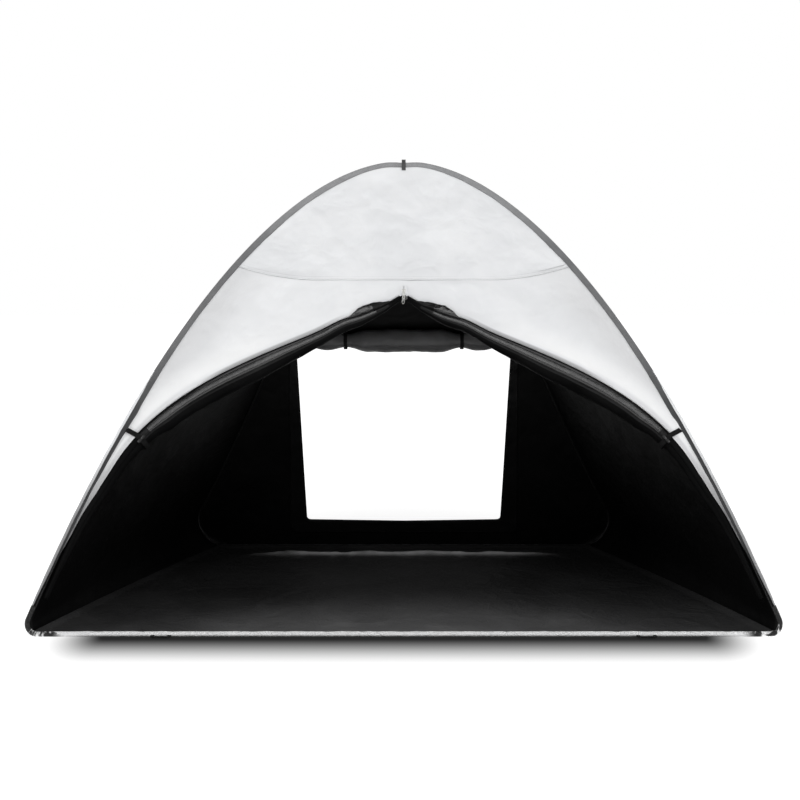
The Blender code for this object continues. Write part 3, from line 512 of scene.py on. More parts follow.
def spaced(path, count):
    """The same path with evenly spaced points."""
    length = np.concatenate([[0], np.cumsum(np.linalg.norm(np.diff(path, axis=0), axis=1))])
    want = np.linspace(0, length[-1], count)
    return np.stack([np.interp(want, length, column) for column in path.T], axis=1)


def path_length(path):
    return float(np.linalg.norm(np.diff(path, axis=0), axis=1).sum())


front_corner, front_leg = hoop_curves(half_width=front_half, radius=0.032, leg_lean=math.radians(17.9),
                                      leg_pull=0.950, crown_pull=0.314)
rear_corner, rear_leg = hoop_curves(half_width=0.724, radius=0.11, leg_lean=math.radians(27),
                                    leg_pull=0.80, crown_pull=0.25)
front_arch, rear_arch = both_sides(front_leg), both_sides(rear_leg)
print("hoops:", round(path_length(front_arch), 3), "and", round(path_length(rear_arch), 3), "m of arch")

# %% [markdown]
# ## Sheets from rows of points
# Cloth is a grid of points here, because folds are then sums of smooth waves over the grid, and the
# cloth's own map comes for free: its two numbers are metres along and across. A Solidify modifier gives
# the sheet its thickness, and puts the lining's finish on the inner side.

# %% Grid and sheet helpers
cloth_thickness = 0.0007
tent_middle = (0.0, 0.0, 0.4)


def grid_object(name, points, place, finishes, close_rows=False, facing=None):
    """A mesh from an array of points (rows, columns, 3), with its cloth map in metres.

    facing is a point that the sheet's outer side looks away from.
    """
    rows, columns = points.shape[:2]
    index = np.arange(rows * columns).reshape(rows, columns)
    if close_rows:
        index = np.concatenate([index, index[:, :1]], axis=1)
        place = np.concatenate([place, place[:, :1]], axis=1)
    quads = np.stack([index[:-1, :-1], index[:-1, 1:], index[1:, 1:], index[1:, :-1]], axis=-1).reshape(-1, 4)
    mesh = bpy.data.meshes.new(name)
    mesh.from_pydata(points.reshape(-1, 3).tolist(), [], quads.tolist())
    layer = mesh.uv_layers.new(name="cloth")
    corners = np.stack([place[:-1, :-1], place[:-1, 1:], place[1:, 1:], place[1:, :-1]], axis=2)
    layer.uv.foreach_set("vector", corners.reshape(-1).astype(np.float32))
    if facing is not None:
        looks = sum(face.normal.dot(face.center - Vector(facing)) * face.area for face in mesh.polygons)
        if looks < 0:
            mesh.flip_normals()
    mesh.shade_smooth()
    for finish in finishes:
        mesh.materials.append(finish)
    made = bpy.data.objects.new(name + ".cloth", mesh)
    bpy.context.scene.collection.objects.link(made)
    return made


def thicken(piece, thickness=cloth_thickness, inner_finish=0, offset_share=-1.0):
    """Gives a sheet its thickness, with the finish of the inner side."""
    wall = piece.modifiers.new("cloth thickness", "SOLIDIFY")
    wall.thickness = thickness
    wall.offset = offset_share
    wall.use_even_offset = False
    wall.material_offset = inner_finish
    wall.material_offset_rim = inner_finish
    return piece


def waves(place, scale, seed, detail=3):
    """Smooth noise between about -1 and 1 over an array of places (..., 2)."""
    flat = place.reshape(-1, 2)
    found = [noise.fractal(Vector((u * scale, v * scale, seed)), 0.9, 2.0, detail) for u, v in flat]
    return np.array(found).reshape(place.shape[:-1])


print("sheets are", cloth_thickness * 1000, "mm thick")

# %% [markdown]
# ## Sweeping a tape along a curve
# Sleeves, bindings and rolls are all one shape drawn along a curve in a hoop's plane. The shape is a
# line of points (out, n), out from the curve and up from the plane, and it may change along the way.
# Because it is a sheet and not a tube, a folded tape keeps its two free edges.

# %% Sweep helper
made_pieces = {}


def length_along(points, axis=0):
    step = np.linalg.norm(np.diff(points, axis=axis), axis=-1)
    return np.concatenate([np.zeros_like(np.take(step, [0], axis)), np.cumsum(step, axis=axis)], axis=axis)


def keep(piece, body, replaced=()):
    """Hides the frame's nodes that the piece stands for, hangs it on its body and keeps it by name."""
    if replaced:
        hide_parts(*replaced)
    if body:
        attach(piece, body)
    made_pieces[piece.name.split(".")[0]] = piece
    return piece


def solid(piece):
    """Turns the piece's modifiers into plain mesh."""
    bpy.context.view_layer.update()
    ready = piece.evaluated_get(bpy.context.evaluated_depsgraph_get())
    mesh = bpy.data.meshes.new_from_object(ready, preserve_all_data_layers=True,
                                           depsgraph=bpy.context.evaluated_depsgraph_get())
    piece.modifiers.clear()
    piece.data = mesh
    mesh.name = piece.name
    return piece


def stitch_tree():
    """Geometry nodes that set small stitches along a line: resample it, put a stitch on each point."""
    tree = bpy.data.node_groups.new("stitch_row", "GeometryNodeTree")
    tree.interface.new_socket("Line", in_out="INPUT", socket_type="NodeSocketGeometry")
    for name, kind in (("Pitch", "Float"), ("Length", "Float"), ("Thickness", "Float"), ("Slant", "Float"),
                       ("Seed", "Int"), ("Thread", "Material")):
        tree.interface.new_socket(name, in_out="INPUT", socket_type="NodeSocket" + kind)
    tree.interface.new_socket("Stitches", in_out="OUTPUT", socket_type="NodeSocketGeometry")
    nodes = Nodes(tree)
    given = nodes.node("NodeGroupInput")
    ask = {socket.name: Signal(nodes, socket) for socket in given.outputs}
    curve = nodes.add("GeometryNodeMeshToCurve", {}, {"Mesh": ask["Line"]})
    evened = nodes.add("GeometryNodeResampleCurve", {"mode": "LENGTH"},
                       {"Curve": curve, "Length": ask["Pitch"]})
    tangent = nodes.add("GeometryNodeInputTangent")
    aimed = nodes.add("FunctionNodeAlignRotationToVector", {"axis": "Z"}, {"Vector": tangent})
    slant = nodes.node("FunctionNodeRandomValue", {"data_type": "FLOAT_VECTOR"}, {"Seed": ask["Seed"]})
    for socket, sign in ((slant.inputs[0], -1), (slant.inputs[1], 1)):
        both = nodes.add("ShaderNodeCombineXYZ", {}, {0: ask["Slant"] * sign, 1: ask["Slant"] * sign})
        tree.links.new(both.socket, socket)
    turned = nodes.add("FunctionNodeRotateRotation", {"rotation_space": "LOCAL"},
                       {0: aimed, 1: Signal(nodes, slant.outputs[0])})
    round_shape = nodes.add("GeometryNodeMeshUVSphere", {}, {"Segments": 6, "Rings": 4, "Radius": 0.5})
    scale = nodes.add("ShaderNodeCombineXYZ", {},
                      {0: ask["Thickness"], 1: ask["Thickness"], 2: ask["Length"]})
    stitch = nodes.add("GeometryNodeTransform", {}, {"Geometry": round_shape, "Scale": scale})
    placed = nodes.add("GeometryNodeInstanceOnPoints", {}, {"Points": evened, "Instance": stitch,
                                                            "Rotation": turned})
    real = nodes.add("GeometryNodeRealizeInstances", {}, {"Geometry": placed})
    dyed = nodes.add("GeometryNodeSetMaterial", {}, {"Geometry": real, "Material": ask["Thread"]})
    nodes.node("NodeGroupOutput", {}, {0: dyed})
    return tree


sewing = stitch_tree()


def stitches(name, line, thread, body, pitch=0.0042, length=0.0031, thickness=0.0007, seed=1):
    """A row of stitches along points (N, 3), as one plain mesh."""
    mesh = bpy.data.meshes.new(name)
    mesh.from_pydata(np.asarray(line).tolist(), [(k, k + 1) for k in range(len(line) - 1)], [])
    piece = bpy.data.objects.new(name, mesh)
    bpy.context.scene.collection.objects.link(piece)
    rows = piece.modifiers.new("stitches", "NODES")
    rows.node_group = sewing
    values = {"Pitch": pitch, "Length": length, "Thickness": thickness, "Slant": 0.09, "Seed": seed,
              "Thread": thread}
    for socket in sewing.interface.items_tree:
        if socket.in_out == "INPUT" and socket.name in values:
            rows[socket.identifier] = values[socket.name]
    return keep(solid(piece), body)


def sweep(name, side, path, out, n, finishes, thickness=cloth_thickness, bands=None, dull=None):
    """A sheet swept along a path (P, 2) in a plane, with offsets out and n as arrays (P, K).

    It takes its last finish, but for the bands (first column, end, finish). Where dull gives a row a
    finish, it takes that one or a later one.
    """
    normal = normals_of(path)
    out, n = (np.broadcast_to(value, (len(path), np.shape(value)[-1])) for value in (out, n))
    flat = path[:, None, :] + normal[:, None, :] * out[..., None]
    points = on_sheet(side, flat, n)
    along = np.broadcast_to(length_along(path)[:, None], out.shape)
    place = np.stack([length_along(points, 1), along], axis=-1)
    piece = grid_object(name, points, place, finishes)
    if bands:
        choice = np.full((len(path) - 1, points.shape[1] - 1), len(finishes) - 1, np.int32)
        for first, end, finish in bands:
            choice[:, first:end] = finish
        if dull is not None:
            choice = np.maximum(choice, dull[:-1, None])
        piece.data.polygons.foreach_set("material_index", choice.ravel())
    return solid(thicken(piece, thickness, offset_share=0.0))


def folded_tape(tail, radius, half_gap, bend=9, flat=5):
    """A tape folded lengthwise: front tail, bend, rear tail, as (out, n)."""
    turns = np.linspace(math.pi / 2, -math.pi / 2, bend)
    out, n = radius * np.cos(turns), radius * np.sin(turns)
    reach = np.linspace(-tail, -radius * 0.6, flat)
    taper = smooth((reach + tail) / tail)
    front_n = half_gap + (radius - half_gap) * taper
    return np.concatenate([reach, out, reach[::-1]]), np.concatenate([front_n, n, -front_n[::-1]])


print("sweep ready")

# %% [markdown]
# ## The hoops' sleeves
# On the real tent a strip of woven tape is folded over the wire and stitched down along its inner edge,
# and the panels' edges are caught between its two tails. So the sleeve is a folded tape here too. Its
# width and its flatness wander by about a millimetre, as a hand-fed seam does.

# %% Arch sleeves and foot sleeves
arch_sleeve_width, foot_sleeve_width = 0.022, 0.013
arch_tail = arch_sleeve_width - pocket
foot_tail = foot_sleeve_width - foot_pocket
sewn_half = 0.0010
sleeve_thickness, tape_inset = 0.0008, 0.0004
stitch_lift, stitch_inset, foot_stitch_inset = 0.0006, 0.0022, 0.0018
arch_wander, arch_ripple, foot_wander, foot_ripple = 0.0009, 0.0010, 0.0012, 0.0007
arch_points, foot_points = 420, 620
front_widths = [(0.0, 0.0135), (0.31, 0.0138), (0.42, 0.0155), (0.54, 0.018), (0.62, 0.0225), (0.74, 0.0195),
                (0.90, 0.0180), (1.20, 0.0210), (1.36, 0.0200), (1.42, 0.0165)]


def front_tail(s):
    """How far the front sleeve reaches in from its wire, which is less where the tape turns edge-on."""
    heights, widths = zip(*front_widths)
    return np.interp(s, heights, widths) - pocket


def wandering(path, seed, size, scale=14.0):
    along = length_along(path)
    return size * waves(np.stack([along, along * 0], axis=-1), scale, seed)[:, None]


def arch_sleeve(name, side, path, body, seed):
    fine = spaced(path, arch_points)
    out, n = folded_tape(arch_tail, pocket - tape_inset, sewn_half)
    tail_share = np.clip(-out / arch_tail, 0, 1)
    reach = front_tail(fine[:, 1:]) / arch_tail if side == front else 1.0
    out = np.where(out < 0, out * reach, out) + wandering(fine, seed, arch_wander) * tail_share
    n = n + wandering(fine, seed + 5, arch_ripple, 20.0) * tail_share
    grey_columns = len(tail_share) // 2 + 3
    piece = sweep(name, side, fine, out, n, [grey_tape, black_tape], sleeve_thickness,
                  bands=[(0, grey_columns, 0)])
    normal = normals_of(fine)
    rows = (("outer", 0, stitch_lift, grey_thread), ("inner", -1, -stitch_lift, black_thread))
    for label, k, lift, thread in rows:
        line = fine + normal * out[:, [k]] + normal * stitch_inset
        stitches(name + "_stitches_" + label, on_sheet(side, line, n[:, k] + lift), thread,
                 body, seed=int(seed))
    return keep(piece, body, [name])


def foot_path(corner, leg):
    straight = np.linspace(-corner[0, 0], corner[0, 0], 300)[1:-1]
    ends = leg[:3]
    return np.concatenate([mirrored(np.concatenate([corner, ends[1:]])),
                           np.stack([straight, np.zeros_like(straight)], axis=1), corner, ends[1:]])


def foot_sleeve(name, side, path, finish, body, seed):
    fine = spaced(path, foot_points)
    out, n = folded_tape(foot_tail, foot_pocket - tape_inset, sewn_half)
    tail_share = np.clip(-out / foot_tail, 0, 1)
    out = out + wandering(fine, seed, foot_wander, 25.0) * tail_share
    crinkle = wandering(fine, seed + 5, foot_ripple, 60.0)
    n = n + crinkle * (0.35 + tail_share)
    piece = sweep(name, side, fine, out, n, [finish], sleeve_thickness)
    line = fine + normals_of(fine) * (out[:, :1] + foot_stitch_inset)
    stitches(name + "_stitches", on_sheet(side, line, n[:, 0] + stitch_lift), black_thread,
             body, seed=int(seed))
    return keep(piece, body, [name])


arch_sleeve("front_arch_sleeve", front, front_arch, "front_frame", 3.0)
arch_sleeve("rear_arch_sleeve", rear, rear_arch, "rear_frame", 8.0)
foot_sleeve("front_foot_sleeve", front, foot_path(front_corner, front_leg), silver_coat,
            "front_frame", 12.0)
foot_sleeve("rear_foot_sleeve", rear, foot_path(rear_corner, rear_leg), black_satin,
            "rear_frame", 17.0)
for name, corner in (("front_foot_sleeve", front_corner), ("rear_foot_sleeve", rear_corner)):
    span = 2 * (corner[0, 0] + path_length(corner))
print("sleeves:", [len(made_pieces[n].data.polygons) for n in made_pieces])

# %% [markdown]
# ## The front wall
# The white wall between hoop and door is cut in two pieces. The upper one laps over the lower one, and
# two rows of stitches hold the lap. The cloth was folded small in its bag, so it is never flat: broad
# waves of a few millimetres, with finer creases between them, fade only where a seam holds the cloth.

# %% Opening, seam and front panels
opening_peak = 0.970
seam_height, seam_rise, seam_flat = 1.027, 0.047, 0.25
tuck, lap = 0.007, 0.011
sleeve_inner = arch_tail + 0.0003
wave_size, lap_lift, lap_lift_share = 0.0045, 0.0016, 0.16
upper_overhang, lower_behind, tip_gap = 0.002, 0.0002, 0.0006
edge_points, opening_points = 1600, 1200
upper_rows, upper_columns = 70, 260
lower_rows, leg_columns, seam_columns = 46, 110, 90
opening_handles = [(0.0, 1.0), (0.5548, 0.7299), (0.8041, 0.7258), (0.9659, 0.0701)]
strip_shifts = [(0.155, -0.0150), (0.193, -0.0059), (0.246, 0.0), (0.30, 0.0024), (0.353, 0.0082),
                (0.406, 0.0074), (0.459, 0.0021), (0.50, 0.0)]
pull_rise, pull_x, pull_reach = 0.0083, 0.18, 0.05
peak_rise, peak_half = 0.0092, 0.058


def opening_point(t):
    """The opening's edge at +X: a cubic curve, a little higher where the leaf pulls at it and at its peak,
    and moved across along the narrow strip beside the sleeve, where the cloth is not held."""
    edge = bezier(opening_handles, t) * (front_half, opening_peak)
    heights, shifts = zip(*strip_shifts)
    edge[:, 0] -= np.interp(foot_pocket + edge[:, 1] * math.cos(lean), heights, shifts)
    edge[:, 1] += pull_rise * np.exp(-((edge[:, 0] - pull_x) / pull_reach)**2)
    edge[:, 1] += peak_rise * np.clip(1 - edge[:, 0] / peak_half, 0, 1)
    return edge


def seam_s(x):
    return seam_height + seam_rise * (np.maximum(np.abs(x) - seam_flat, 0) / seam_flat)**2


even_arch = spaced(front_arch, edge_points)
front_edge = offset(even_arch, -(front_tail(even_arch[:, 1]) - tuck))
rising_edge = front_edge[:edge_points // 2]


def seam_corner(drop=0.0):
    """Where the seam runs into the sleeve at +X, as an index of the sleeve's edge."""
    above = rising_edge[:, 1] > seam_s(rising_edge[:, 0]) - drop
    return int(np.argmax(above))


def between(low, high, rows):
    share = np.linspace(0, 1, rows)[:, None, None]
    return low[None] * (1 - share) + high[None] * share


def shares(grid):
    """How far each row and each column of a grid lies from the first one, from 0 to 1."""
    rows, columns = grid.shape[:2]
    return np.linspace(0, 1, rows)[:, None], np.linspace(0, 1, columns)[None, :]


def held(share, reach=0.16):
    """0 at the two edges of a sheet, where seams hold it, and 1 between them."""
    return smooth(share / reach) * smooth((1 - share) / reach)


def slack(place, seed, size):
    """The cloth's unevenness in metres: broad waves, a third of their size in creases, and short ones."""
    broad, crease = waves(place, 4.2, seed), waves(place, 12.0, seed + 3)
    return size * (broad + 0.35 * crease + 0.12 * waves(place, 31.0, seed + 7))


def note_sleeve_distance(piece):
    """Keeps each point's distance from the front sleeve, for its finish to read."""
    points = np.array([point.co for point in piece.data.vertices])
    spot = np.stack([np.abs(points[:, 0]), (points[:, 2] - foot_pocket) / math.cos(lean)], axis=1)
    found = np.linalg.norm(spot[:, None] - rising_edge[None, ::16], axis=2).min(axis=1)
    piece.data.attributes.new("from_sleeve", "FLOAT", "POINT").data.foreach_set("value", found)


def lower_edge(leg, seam):
    """An edge of the lower panel: up from the foot, along to the middle, and on down the other side."""
    return both_sides(np.concatenate([spaced(leg, leg_columns), spaced(seam, seam_columns)[1:]]))


corner_at = seam_corner()
corner_x = rising_edge[corner_at, 0]
upper_low = np.stack([np.linspace(corner_x, -corner_x, upper_columns)] * 2, axis=1)
upper_low[:, 1] = seam_s(upper_low[:, 0]) - upper_overhang
upper_high = spaced(front_edge[corner_at:len(front_edge) - corner_at], upper_columns)
flat = between(upper_low, upper_high, upper_rows)
rows_share, columns_share = shares(flat)
puff = slack(flat, 2.0, wave_size) * held(rows_share) * held(columns_share, 0.1)
lift = lap_lift * (1 - smooth(rows_share / lap_lift_share))
upper = grid_object("front_panel_upper", on_sheet(front, flat, puff + lift), flat,
                    [white_outer, black_inner], facing=tent_middle)
keep(solid(thicken(upper, cloth_thickness, 1)), "front_frame", ["front_panel_upper"])

opening = spaced(opening_point(np.linspace(0, 1, opening_points)), opening_points)
edge_x = np.interp(opening[:, 1], rising_edge[:, 1], rising_edge[:, 0])
tip_at = int(np.argmax(opening[:, 0] > edge_x - tip_gap)) or len(opening) - 1
opening_up = opening[:tip_at][::-1]
seam_tip = rising_edge[seam_corner(-lap)]
nearest = int(np.argmin(np.linalg.norm(opening_up - seam_tip, axis=1)))
leg_from = int(np.argmin(np.linalg.norm(rising_edge - opening_up[0], axis=1)))
seam_x = np.linspace(seam_tip[0], 0, 200)
seam_part = np.stack([seam_x, seam_s(seam_x) + lap], axis=1)
flat = between(lower_edge(opening_up[:nearest + 1], opening_up[nearest:]),
               lower_edge(rising_edge[leg_from:seam_corner(-lap)], seam_part), lower_rows)
rows_share, columns_share = shares(flat)
puff = slack(flat, 2.0, wave_size) * held(rows_share, 0.25) * held(columns_share, 0.05)
from_edge = np.stack([flat[..., 0], length_along(flat.transpose(1, 0, 2), 1).T], axis=-1)
points = on_sheet(front, flat, puff - lower_behind)
lower = grid_object("front_panel_lower", points, from_edge, [white_painted_light, black_inner], facing=tent_middle)
note_sleeve_distance(lower)
keep(solid(thicken(lower, cloth_thickness, 1)), "front_frame", ["front_panel_lower"])
print("front wall:", len(upper.data.polygons), "and", len(lower.data.polygons), "faces")

# %% [markdown]
# ## The side walls
# Each side is one long wedge of cloth from the front hoop to the rear one. It hangs in shallow folds
# from the crown, and bellies out a little between the hoops. Along the lower half of the front hoop its
# seam allowance comes forward round the sleeve, and shows as a narrow light lip.

# %% Side panels
front_attach, rear_attach, side_bulge = 0.0062, 0.012, 0.012
side_foot = foot_tail + 0.0003 + 0.001
side_behind = 0.0026
rim_behind = foot_pocket + 0.0008
side_below, side_under_crown = 0.005, 0.012
side_rows, side_columns, side_wave_size = 130, 64, 0.006
lip_top, lip_rows, lip_thickness = 0.74, 220, 0.0006
lip_reach, lip_wander, lip_tail = 0.0018, 0.0009, 0.0030
lip_over, lip_under, lip_bare = 0.0009, 0.0006, 0.0012


def hoop_line(corner, leg, s, inside):
    """A hoop's line at height s, moved to the inside by a distance, as (x, s)."""
    rising = np.concatenate([corner, leg[1:]])
    rising = rising[:int(np.argmax(rising[:, 1])) + 1]
    normal = normals_of(rising)
    x, nx, ns = (np.interp(s, rising[:, 1], v) for v in (rising[:, 0], normal[:, 0], normal[:, 1]))
    return x - inside * nx, s - inside * np.maximum(ns, 0)


def side_ends(s):
    behind = side_behind + (rim_behind - side_behind) * (1 - smooth((s - side_foot) / 0.06))
    return (on_plane(front, *hoop_line(front_corner, front_leg, s, front_attach), -behind),
            on_plane(rear, *hoop_line(rear_corner, rear_leg, s, rear_attach), -behind))


def side_points(s, share):
    """Points of the side panel at +X over heights (R,) and shares of the way back (C,)."""
    start, end = side_ends(s)
    points = start[:, None] * (1 - share[None, :, None]) + end[:, None] * share[None, :, None]
    swell = side_bulge * np.linalg.norm(end - start, axis=1) / depth
    points[..., 0] += swell[:, None] * (4 * share * (1 - share))[None]
    return points


def fold_weights(piece):
    """Reads the piece's points into an array; nothing is made from them."""
    spots = np.empty(len(piece.data.vertices) * 3, np.float32)
    piece.data.vertices.foreach_get("co", spots)
    spots = spots.reshape(-1, 3)


def bend_with_fold(piece):
    """Bakes the piece's place into its mesh and reads its points; the cloth is not bent."""
    on_plane(front, 0, 0.0).tolist()
    on_plane(rear, 0, 0.0).tolist()
    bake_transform(piece)
    fold_weights(piece)


def side_panel(name, hand, seed):
    top = crown_s - side_under_crown
    rise = np.sin(np.linspace(0, math.pi / 2, side_rows))
    s = side_foot - side_below + (top - side_foot + side_below) * rise
    share = np.linspace(0, 1, side_columns)
    points = side_points(s, share)
    heights = np.broadcast_to(s[:, None], points.shape[:2])
    spot = np.stack([points[..., 1], heights], axis=-1)
    hang = slack(spot * (1.5, 0.8), seed, side_wave_size) * held(share, 0.12)[None]
    hang = hang * smooth((s - side_foot) / 0.05)[:, None]
    points[..., 0] += hang * smooth((top - s) / 0.25)[:, None]
    place = np.stack([length_along(points, 1), heights], axis=-1)
    points[..., 0] *= hand
    piece = grid_object(name, points, place, [white_outer, black_inner], facing=tent_middle)
    bend_with_fold(keep(solid(thicken(piece, cloth_thickness, 1)), None, [name]))


def side_lip(name, hand, seed):
    """The side wall's seam allowance, wrapped over the outer side of the front sleeve."""
    leg = spaced(front_leg[front_leg[:, 1] < lip_top], lip_rows)
    s = leg[:, 1:]
    full = smooth((0.72 - s) / 0.10) * smooth((s - 0.05) / 0.08)
    turns = np.radians(np.linspace(-70, 110, 12))[None]
    radius = pocket + lip_over
    out = np.concatenate([radius * np.cos(turns) + 0 * s, -lip_tail - lip_reach * full], axis=1)
    n = np.concatenate([radius * np.sin(turns) + 0 * s, radius - lip_under + 0 * s], axis=1)
    bare = (1 - full) * lip_bare
    out, n = out * (1 - bare / radius), n * (1 - bare / radius)
    out = out + lip_wander * waves(np.concatenate([s, s * 0], axis=1), 18.0, seed)[:, None] * full
    out = np.maximum(out, -0.005 + 0.0050 * (1 - smooth((s - 0.03) / 0.16)))
    path, out, n = for_hand(hand, leg, out, n)
    piece = sweep(name, front, path, out, n, [white_shaded], lip_thickness)
    keep(piece, "front_frame")


side_lip("side_lip_right", 1, 27.0)
side_lip("side_lip_left", -1, 39.0)
side_panel("side_panel_right", 1, 21.0)
side_panel("side_panel_left", -1, 33.0)
print("sides:", len(made_pieces["side_panel_right"].data.polygons), "faces each")

# %% [markdown]
# ## The floor
# The floor is a heavier sheet that lies flat and turns up at its rim to meet the walls. It keeps the
# creases of its folding: ridges a few millimetres high, sharp on top, that catch the light from the
# window. Along the rear wall two long folds stand up where the cloth is wider than the ground it covers.

# %% Groundsheet
floor_rim_z, floor_rim_reach = 0.0099, 0.03
floor_y = 0.5909
floor_thickness, floor_lift = 0.0009, 0.0011
rear_fold_half, rear_fold_reach = 0.62, 0.0150
hump_height, crease_height, cross_height = 0.0016, 0.0026, 0.0018
rear_folds = [(0.527, 0.0050, 71.0), (0.455, 0.0150, 81.0)]
floor_columns = 210


def floor_half_width(y):
    row = side_points(np.array([side_foot]), np.linspace(0, 1, 30))[0]
    places = np.concatenate([[-floor_y], row[:, 1], [floor_y]])
    halves = np.concatenate([[front_corner[0, 0]], row[:, 0], [rear_corner[0, 0]]])
    return np.interp(y, places, halves)


def floor_height(x, y, room):
    """The sheet's height over the ground: rim, broad humps, creases and the folds along the rear wall."""
    spot = np.stack([x, y], axis=-1)
    hump = hump_height * np.maximum(waves(spot, 3.0, 51.0), 0)
    crease = np.maximum(1 - np.abs(waves(spot * (1, 1.3), 2.6, 57.0, 2)) * 9, 0)**1.5 * crease_height
    cross = np.maximum(1 - np.abs(waves(spot * (1.6, 0.7), 3.4, 63.0, 2)) * 10, 0)**1.5 * cross_height
    fold = 0
    for place, fold_height, seed in rear_folds:
        line = place + 0.004 * waves(spot * (1, 0), 4.0, seed)
        uneven = 0.8 + 0.45 * waves(spot * (1, 0), 6.0, seed + 4)
        tall = fold_height * uneven * smooth((rear_fold_half - np.abs(x)) / 0.25)
        fold = fold + tall * np.exp(-((y - line) / rear_fold_reach)**2)
    rim = floor_rim_z * smooth(1 - room / floor_rim_reach)
    return floor_lift + rim + (hump + crease + cross + fold) * smooth((room - 0.012) / 0.03)


across = np.sin(np.linspace(-math.pi / 2, math.pi / 2, floor_columns)) * 0.5
across = across + np.linspace(-1, 1, floor_columns) * 0.5
back = np.concatenate([[-floor_y], np.linspace(-0.5872, 0.30, 70), np.linspace(0.31, 0.44, 12),
                       np.linspace(0.4425, 0.555, 52), np.linspace(0.56, 0.5872, 6), [floor_y]])
half = floor_half_width(back)
x = across[None, :] * half[:, None]
y = np.broadcast_to(back[:, None], x.shape)
room = np.minimum(floor_y - np.abs(y), half[:, None] - np.abs(x))
floor_points = np.stack([x, y, floor_height(x, y, room)], axis=-1)
floor = grid_object("groundsheet", floor_points, np.stack([x, y], axis=-1), [floor_sheet], facing=(0, 0, -1))
bend_with_fold(keep(solid(thicken(floor, floor_thickness)), None, ["groundsheet"]))
print("floor:", len(floor.data.polygons), "faces")

# %% [markdown]
# ## The rear wall and its window
# The rear wall is one sheet with a window cut in it, and a doubled hem runs round the hole on the
# inner side. A sheet with a hole is easiest as a ring: from the window's middle, each ray meets the
# hole's edge and then the wall's edge, and the cloth is spread between the two.

# %% Rear panel and window border
window_foot, window_top, window_sag = 0.113, 0.80, 0.006
window_foot_half, window_top_half, window_radius = 0.334, 0.350, 0.012
border_foot_half, border_top_half, border_radius = 0.395, 0.372, 0.02
border_foot_width, border_top_width = 0.055, 0.032
border_back, border_thickness = 0.0019, 0.0012
wall_rows, border_rows = 34, 9
window_middle = np.array([0.0, (window_foot + window_top) / 2])


def rounded(corners, radius, steps=8):
    """A closed outline whose corners are arcs."""
    found = []
    for i, corner in enumerate(corners):
        corner = Vector(corner)
        before = (Vector(corners[i - 1]) - corner).normalized()
        after = (Vector(corners[(i + 1) % len(corners)]) - corner).normalized()
        half = before.angle(after) / 2
        centre = corner + (before + after).normalized() * (radius / math.sin(half))
        start = corner + before * (radius / math.tan(half)) - centre
        end = corner + after * (radius / math.tan(half)) - centre
        found += [tuple(centre + start.normalized().slerp(end.normalized(), k / steps) * radius)
                  for k in range(steps + 1)]
    return np.array(found)


def along_rays(outline, angles):
    """Where rays from the window's middle meet a closed outline."""
    arms = outline - window_middle
    turns = np.unwrap(np.arctan2(arms[:, 1], arms[:, 0]))
    if turns[-1] < turns[0]:
        arms, turns = arms[::-1], turns[::-1]
    turns = np.concatenate([turns - turn, turns, turns + turn])
    reach = np.interp(angles, turns, np.tile(np.linalg.norm(arms, axis=1), 3))
    return window_middle + reach[:, None] * np.stack([np.cos(angles), np.sin(angles)], axis=1)


def dense(outline, count=4000):
    return spaced(np.concatenate([outline, outline[:1]]), count)[:-1]


window_edge = dense(rounded([(-window_foot_half, window_foot), (0, window_foot - window_sag),
                             (window_foot_half, window_foot), (window_top_half, window_top),
                             (-window_top_half, window_top)], window_radius))
border_edge = dense(rounded([(-border_foot_half, window_foot - border_foot_width),
                             (border_foot_half, window_foot - border_foot_width),
                             (border_top_half, window_top + border_top_width),
                             (-border_top_half, window_top + border_top_width)], border_radius))
rear_ring = np.concatenate([offset(spaced(rear_arch, 900), -(sleeve_inner - tuck)),
                            offset(spaced(foot_path(rear_corner, rear_leg[:1].repeat(3, 0)), 400),
                                   -(foot_tail - 0.004))])
window_corners = [math.atan2(s - window_middle[1], x) for x in (window_top_half, -window_top_half)
                  for s in (window_top, window_foot)]
angles = np.sort(np.concatenate([np.linspace(-math.pi, math.pi, 440)[:-1], window_corners]))
inner_ring, outer_ring = along_rays(window_edge, angles), along_rays(dense(rear_ring), angles)
flat = between(inner_ring, outer_ring, wall_rows)
rows_share = shares(flat)[0]
apart = np.linalg.norm(flat - inner_ring[None], axis=-1)
puff = slack(flat, 83.0, 0.005) * smooth((apart - 0.09) / 0.12) * smooth((1 - rows_share) / 0.25)
points = on_sheet(rear, flat, puff)
rear_wall = grid_object("rear_panel", points, flat, [white_outer, black_inner], True, tent_middle)
keep(solid(thicken(rear_wall, cloth_thickness, 1)), "rear_frame", ["rear_panel"])

border_in, border_out = along_rays(window_edge, angles), along_rays(border_edge, angles)
flat = between(border_in, border_out, border_rows)
ripple = 0.0007 * waves(flat, 20.0, 91.0) + 0.0005 * waves(flat, 55.0, 95.0)
points = on_sheet(rear, flat, -border_back + np.minimum(ripple, 0.0006))
border = grid_object("window_border", points, flat, [black_satin], True, (0, 1, 0.4))
keep(solid(thicken(border, border_thickness)), "rear_frame", ["window_border"])
print("rear wall:", len(rear_wall.data.polygons), "faces, window", window_top_half * 2, "m wide")

# %% [markdown]
# ## Rolled cloth
# The door's two leaves and the window's cover are rolled up and tied. A roll is a spiral: its radius
# shrinks by the same step in each turn, so the sheet's length stays true, and the last turn leaves an
# edge in view. Long wrinkles run along it where turns slip on each other, and a tie draws it in.

